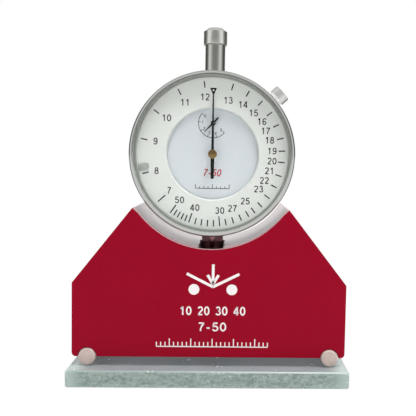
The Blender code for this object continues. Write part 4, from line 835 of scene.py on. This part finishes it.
def make_inner_dial():
    """The sunken disc with the counting dial, a plain number print and a short rule."""
    front = -DISC_LOW.y
    small = bmesh.new()
    centre = Vector((0, COUNTER_Z))
    last = COUNTER_ZERO + COUNTER_STEP * (COUNTER_NUMBERS - 1)
    add_arc(small, centre, COUNTER_ARC_RADIUS, COUNTER_ARC_WIDTH, COUNTER_ZERO, last)
    for i in range(COUNTER_NUMBERS):
        angle = COUNTER_ZERO + COUNTER_STEP * i
        add_bar(small, centre + Vector(on_circle(COUNTER_ARC_RADIUS - COUNTER_LINE, angle)),
                centre + Vector(on_circle(COUNTER_ARC_RADIUS, angle)), COUNTER_ARC_WIDTH)
        add_text(small, str(i), COUNTER_NUMBER_HEIGHT,
                 centre + Vector(on_circle(COUNTER_NUMBER_RADIUS, angle)), NUMBER_WIDTH_SHARE)
    half = SMALL_RULE_HALF_WIDTH
    low = SMALL_RULE_Z - DIAL_Z
    add_bar(small, (-half, low), (half, low), COUNTER_ARC_WIDTH)
    for i in range(SMALL_RULE_PARTS + 1):
        x = -half + 2 * half * i / SMALL_RULE_PARTS
        height = COUNTER_LINE * (1 if i % SMALL_RULE_GROUP else 2)
        add_bar(small, (x, low), (x, low + height), COUNTER_ARC_WIDTH)
    printed("counting_dial_print", small, GREY_INK, "meter", (0, -front, DIAL_Z))

    red = bmesh.new()
    add_text(red, "7-50", RED_MARK_HEIGHT, (0, RED_MARK_Z - DIAL_Z), slant=RED_MARK_SLANT)
    printed("red_number_print", red, RED_INK, "meter", (0, -front, DIAL_Z))


def make_hub():
    """Turned brass boss of the pointer, with a domed end."""
    base = -HUB_HIGH.y
    top = -HUB_LOW.y
    rings = 8
    profile = [(HUB_RADIUS * math.sin(math.pi / 2 * i / rings),
                top - HUB_DOME * (1 - math.cos(math.pi / 2 * i / rings))) for i in range(rings + 1)]
    profile += [(HUB_RADIUS, base), (0, base)]
    mesh = lathe("pointer_hub_fine", profile, steps=64, closed=False)
    piece = add_piece("pointer_hub_fine", mesh, BRASS, "pointer_wheel", DIAL_SPOT,
                      FACING_FRONT)
    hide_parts("pointer_hub")


def make_pointer():
    """The long pointer, a little broader than its plain blank, with a narrower tail."""
    bm = bmesh.new()
    bm.from_mesh(frame["nodes"]["pointer"].data)
    for vert in bm.verts:
        if math.hypot(vert.co.x, vert.co.z - DIAL_Z) > POINTER_EYE:
            vert.co.x *= POINTER_BREADTH if vert.co.z > DIAL_Z else TAIL_BREADTH
    mesh = to_mesh("pointer_fine", bm)
    piece = add_piece("pointer_fine", mesh, BLACK, "pointer_wheel")
    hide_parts("pointer")


def make_cap():
    """Turned cap of the sleeve, with a flat top, a flat slant and a bright foot."""
    radius = (CAP_HIGH.x - CAP_LOW.x) / 2
    top = CAP_HIGH.z - CAP_LOW.z - CAP_DROP
    profile = [(0, top), (radius - CAP_SLANT_WIDTH, top), (radius, top - CAP_SLANT_HEIGHT),
               (radius, CAP_FOOT), (radius - CAP_FOOT, 0), (radius - CAP_WALL, 0),
               (radius - CAP_WALL, top / 2), (0, top / 2)]
    mesh = lathe("sleeve_cap_fine", profile, steps=96, closed=False, rounding=CAP_ROUNDING)
    piece = add_piece("sleeve_cap_fine", mesh, SATIN_CAP, "meter", (0, 0, CAP_LOW.z))
    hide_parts("sleeve_cap")


def make_knob():
    """Finely knurled thumbscrew, turned about its own axis and as long as its plain node."""
    low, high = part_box("clamp_screw")
    centre = Vector((0, (low.y + high.y) / 2, DIAL_Z))
    axis = Vector((math.cos(KNOB_ANGLE), 0, math.sin(KNOB_ANGLE)))
    offsets = [vert.co - centre for vert in frame["nodes"]["clamp_screw"].data.vertices]
    points = [((offset - axis * offset.dot(axis)).length, offset.dot(axis)) for offset in offsets]
    radius = max(reach for reach, height in points)
    top = max(height for reach, height in points)
    tip = min(height for reach, height in points)
    bottom = min(height for reach, height in points if reach > radius / 2)
    edge = KNOB_EDGE
    heights = [top - edge - INK, (top + bottom) / 2, bottom + edge + INK]
    profile = [(0, top - edge / 2), (radius - 3 * edge, top - edge / 2), (radius - 2 * edge, top),
               (radius - edge, top), (radius, top - edge)] + [(radius, height) for height in heights]
    profile += [(radius, bottom + edge), (radius - edge, bottom), (KNOB_SHANK, bottom),
                (KNOB_SHANK, tip), (0, tip)]
    mesh = lathe("clamp_screw_fine", profile, steps=KNOB_KNURLS * 6, closed=False,
                 knurls=(radius, bottom + edge, top - edge, KNOB_KNURLS, KNOB_KNURL_DEPTH))
    piece = add_piece("clamp_screw_fine", mesh, KNOB, NODE_BODIES["clamp_screw"],
                      centre, (0, math.pi / 2 - KNOB_ANGLE, 0))
    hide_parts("clamp_screw")


def make_tongue():
    """Thin grey tongue that reaches in over the scale from the bezel's lip."""
    half = TONGUE_HALF_WIDTH
    end = TONGUE_END + half
    bm = bmesh.new()
    outline = [(-half, TONGUE_START)] + [(-half * math.cos(math.radians(a)),
                                          end - half * math.sin(math.radians(a)))
                                         for a in range(0, 181, 15)] + [(half, TONGUE_START)]
    turn = Matrix.Rotation(math.radians(-TONGUE_ANGLE), 2)
    add_face(bm, [turn @ Vector(point) for point in outline])
    extruded = bmesh.ops.extrude_face_region(bm, geom=bm.faces[:])["geom"]
    for vert in [item for item in extruded if isinstance(item, bmesh.types.BMVert)]:
        vert.co.z += TONGUE_THICKNESS
    bmesh.ops.recalc_face_normals(bm, faces=bm.faces)
    soften(bm, TONGUE_THICKNESS / 4)
    mesh = to_mesh("scale_tongue", bm)
    shade(mesh)
    add_piece("scale_tongue", mesh, TONGUE, "bezel_ring",
              (0, -TONGUE_FRONT + TONGUE_THICKNESS, DIAL_Z), FACING_FRONT)


def make_plate_print():
    """White sketch of a mesh pressed down between two rods, with plain numbers and a rule."""
    bm = bmesh.new()
    x, z = PRINT_CENTRE_X, SKETCH_Z
    half = SKETCH_HALF_WIDTH
    low = z - SKETCH_SAG
    high = z + SKETCH_RISE
    for side in (-1, 1):
        add_bar(bm, (x + side * half, high), (x, low), SKETCH_LINE)
        add_dot(bm, (x + side * half * SKETCH_DOT_SHARE, low - SKETCH_DOT / 2), SKETCH_DOT)
        add_bar(bm, (x + side * SKETCH_DOT, low + SKETCH_DOT * SKETCH_BARB_SHARE),
                (x, low + SKETCH_LINE), SKETCH_LINE)
    add_bar(bm, (x, low + SKETCH_LINE), (x, low + SKETCH_LINE + SKETCH_ARROW), SKETCH_LINE)
    for row, row_z, breadth in (("10 20 30 40", FIRST_ROW_Z, FIRST_ROW_BREADTH),
                                ("7-50", SECOND_ROW_Z, SECOND_ROW_BREADTH)):
        add_text(bm, row, ROW_HEIGHT, (x, row_z), breadth, weight=PLATE_PRINT_WEIGHT)
    half = RULE_HALF_WIDTH
    lines = round(2 * half / RULE_STEP)
    bottom = THIRD_ROW_Z - ROW_HEIGHT / 2
    add_bar(bm, (x - half, bottom), (x + half, bottom), RULE_LINE)
    for i in range(lines + 1):
        place = x - half + i * RULE_STEP
        is_long = i % RULE_GROUP == RULE_FIRST_LONG
        height = ROW_HEIGHT * (RULE_LONG_SHARE if is_long else RULE_SHORT_SHARE)
        add_bar(bm, (place, bottom), (place, bottom + height), RULE_LINE)
    printed("plate_print", bm, WHITE_INK, "meter", (0, PLATE_LOW.y, 0))


# Stage

def white_stage(name):
    """White floor that keeps a faint shadow. In reflections it is bright in front, dark just behind the
    object and bright again further off."""
    material = bpy.data.materials.new(name)
    material.use_nodes = True
    tree = material.node_tree
    tree.nodes.remove(tree.nodes["Principled BSDF"])
    paper = add_node(tree, "ShaderNodeBsdfDiffuse", {"Color": PAPER_WHITE})
    glow = add_node(tree, "ShaderNodeEmission", {"Color": (1, 1, 1, 1)})
    mix = add_node(tree, "ShaderNodeMixShader")
    split = add_node(tree, "ShaderNodeSeparateXYZ")
    tree.links.new(object_point(tree), split.inputs["Vector"])
    depth = combined(tree, "MULTIPLY_ADD", split.outputs["Y"], 0.5 / FLOOR_REACH, 0.5)
    path = add_node(tree, "ShaderNodeLightPath")
    mirrored = path.outputs["Is Glossy Ray"]
    tree.links.new(blended(tree, mirrored, 1, ramped(tree, depth, FLOOR_REFLECTED)),
                   glow.inputs["Strength"])
    seen = combined(tree, "MAXIMUM", path.outputs["Is Camera Ray"], path.outputs["Is Transmission Ray"])
    distance = add_node(tree, "ShaderNodeVectorMath", operation="LENGTH")
    tree.links.new(object_point(tree), distance.inputs[0])
    far = ranged(tree, distance.outputs["Value"], FLOOR_SEEN, 1, *FLOOR_FADE)
    share = combined(tree, "MULTIPLY", combined(tree, "MAXIMUM", seen, mirrored), far)
    tree.links.new(share, mix.inputs[0])
    tree.links.new(paper.outputs[0], mix.inputs[1])
    tree.links.new(glow.outputs[0], mix.inputs[2])
    tree.links.new(mix.outputs[0], tree.nodes["Material Output"].inputs["Surface"])
    return material


def make_stage():
    """Wide floor, a hair below the glass block."""
    bm = bmesh.new()
    half = FLOOR_HALF
    add_face(bm, [(-half, -half), (half, -half), (half, half), (-half, half)])
    floor = add_object("floor", to_mesh("floor", bm))
    floor.location = (0, 0, -FLOOR_GAP)
    floor.data.materials.append(white_stage("floor_white"))


def make_world():
    """White to the camera, and an even glow on the object. In reflections it is a dim room in front,
    with bright panels beside and above, and dark behind but for a bright patch straight behind."""
    world = bpy.data.worlds.new("studio")
    world.use_nodes = True
    bpy.context.scene.world = world
    tree = world.node_tree
    background = tree.nodes["Background"]
    background.inputs["Color"].default_value = (1, 1, 1, 1)
    split = add_node(tree, "ShaderNodeSeparateXYZ")
    tree.links.new(add_node(tree, "ShaderNodeTexCoord").outputs["Generated"], split.inputs["Vector"])
    room = ramped(tree, combined(tree, "MULTIPLY_ADD", split.outputs["Y"], 0.5, 0.5), ROOM_REFLECTED)
    ceiling = ranged(tree, split.outputs["Z"], 0, CEILING_GLOW, *CEILING_RISE)
    mirrored = combined(tree, "MAXIMUM", room, ceiling)
    path = add_node(tree, "ShaderNodeLightPath")
    seen = combined(tree, "MAXIMUM", path.outputs["Is Camera Ray"], path.outputs["Is Transmission Ray"])
    glow = blended(tree, path.outputs["Is Glossy Ray"], AMBIENT_GLOW, mirrored)
    tree.links.new(blended(tree, seen, glow, 1), background.inputs["Strength"])


def make_lamp(name, power, size, place, target=LAMP_TARGET):
    """Round soft lamp that metal and glass don't mirror."""
    lamp = bpy.data.lights.new(name, "AREA")
    lamp.energy = power
    lamp.shape = "DISK"
    lamp.size = size
    holder = add_object(name, lamp)
    holder.location = place
    aim = Vector(target) - Vector(place)
    holder.rotation_euler = aim.to_track_quat("-Z", "Y").to_euler()
    holder.visible_glossy = False


def make_camera():
    """Camera at the photograph's place, with the crop's offset as a small shift."""
    ahead = Vector((-math.sin(CAMERA_YAW), math.cos(CAMERA_YAW), 0))
    right = Vector((math.cos(CAMERA_YAW), math.sin(CAMERA_YAW), 0))
    up = Vector((0, 0, 1))
    view = math.cos(CAMERA_PITCH) * ahead + math.sin(CAMERA_PITCH) * up
    rise = math.cos(CAMERA_PITCH) * up - math.sin(CAMERA_PITCH) * ahead
    x_axis = math.cos(CAMERA_ROLL) * right + math.sin(CAMERA_ROLL) * rise
    y_axis = math.cos(CAMERA_ROLL) * rise - math.sin(CAMERA_ROLL) * right
    data = bpy.data.cameras.new("camera")
    data.sensor_fit = "HORIZONTAL"
    data.sensor_width = SENSOR
    data.lens = FOCAL_PIXELS * SENSOR / IMAGE_WIDTH
    data.shift_x = (IMAGE_WIDTH / 2 - AXIS_PIXEL[0]) / IMAGE_WIDTH
    data.shift_y = (AXIS_PIXEL[1] - IMAGE_WIDTH / 2) / IMAGE_WIDTH
    data.clip_start = 1 * MM
    camera = add_object("camera", data)
    matrix = Matrix((x_axis, y_axis, -view)).transposed().to_4x4()
    matrix.translation = CAMERA_PLACE
    camera.matrix_world = matrix
    bpy.context.scene.camera = camera


make_camera()
dress_nodes()
make_plate("front_plate")
make_plate("back_plate")
refined("body_block", PLATE_ROUNDING)
refined("zero_glass", GLASS_ROUNDING)
for node_name in ("support_rod_left", "support_rod_right", "base_cover", "stem_bush", "indicator_stem",
                  "upper_sleeve", "indicator_case"):
    refined(node_name, SMALL_ROUNDING)
refined("case_back", SMALL_ROUNDING, SATIN_BACK)
refined("clamp_shoe", SMALL_ROUNDING, PAD)
make_spring("foot_spring", True)
make_spring("return_spring", False)
make_bezel()
make_window()
make_scale()
make_inner_dial()
make_hub()
make_pointer()
make_cap()
make_knob()
make_tongue()
make_plate_print()

make_stage()
make_world()
make_lamp("key_softbox", power=4.7, size=0.34, place=(0.13, -0.16, 0.66), target=DIAL_SPOT)
make_lamp("front_fill", power=0.6, size=0.6, place=(-0.25, -0.7, 0.25))
make_lamp("rear_softbox", power=2.4, size=0.4, place=(0, 0.5, 0.36))
bpy.context.scene.view_settings.view_transform = "Standard"
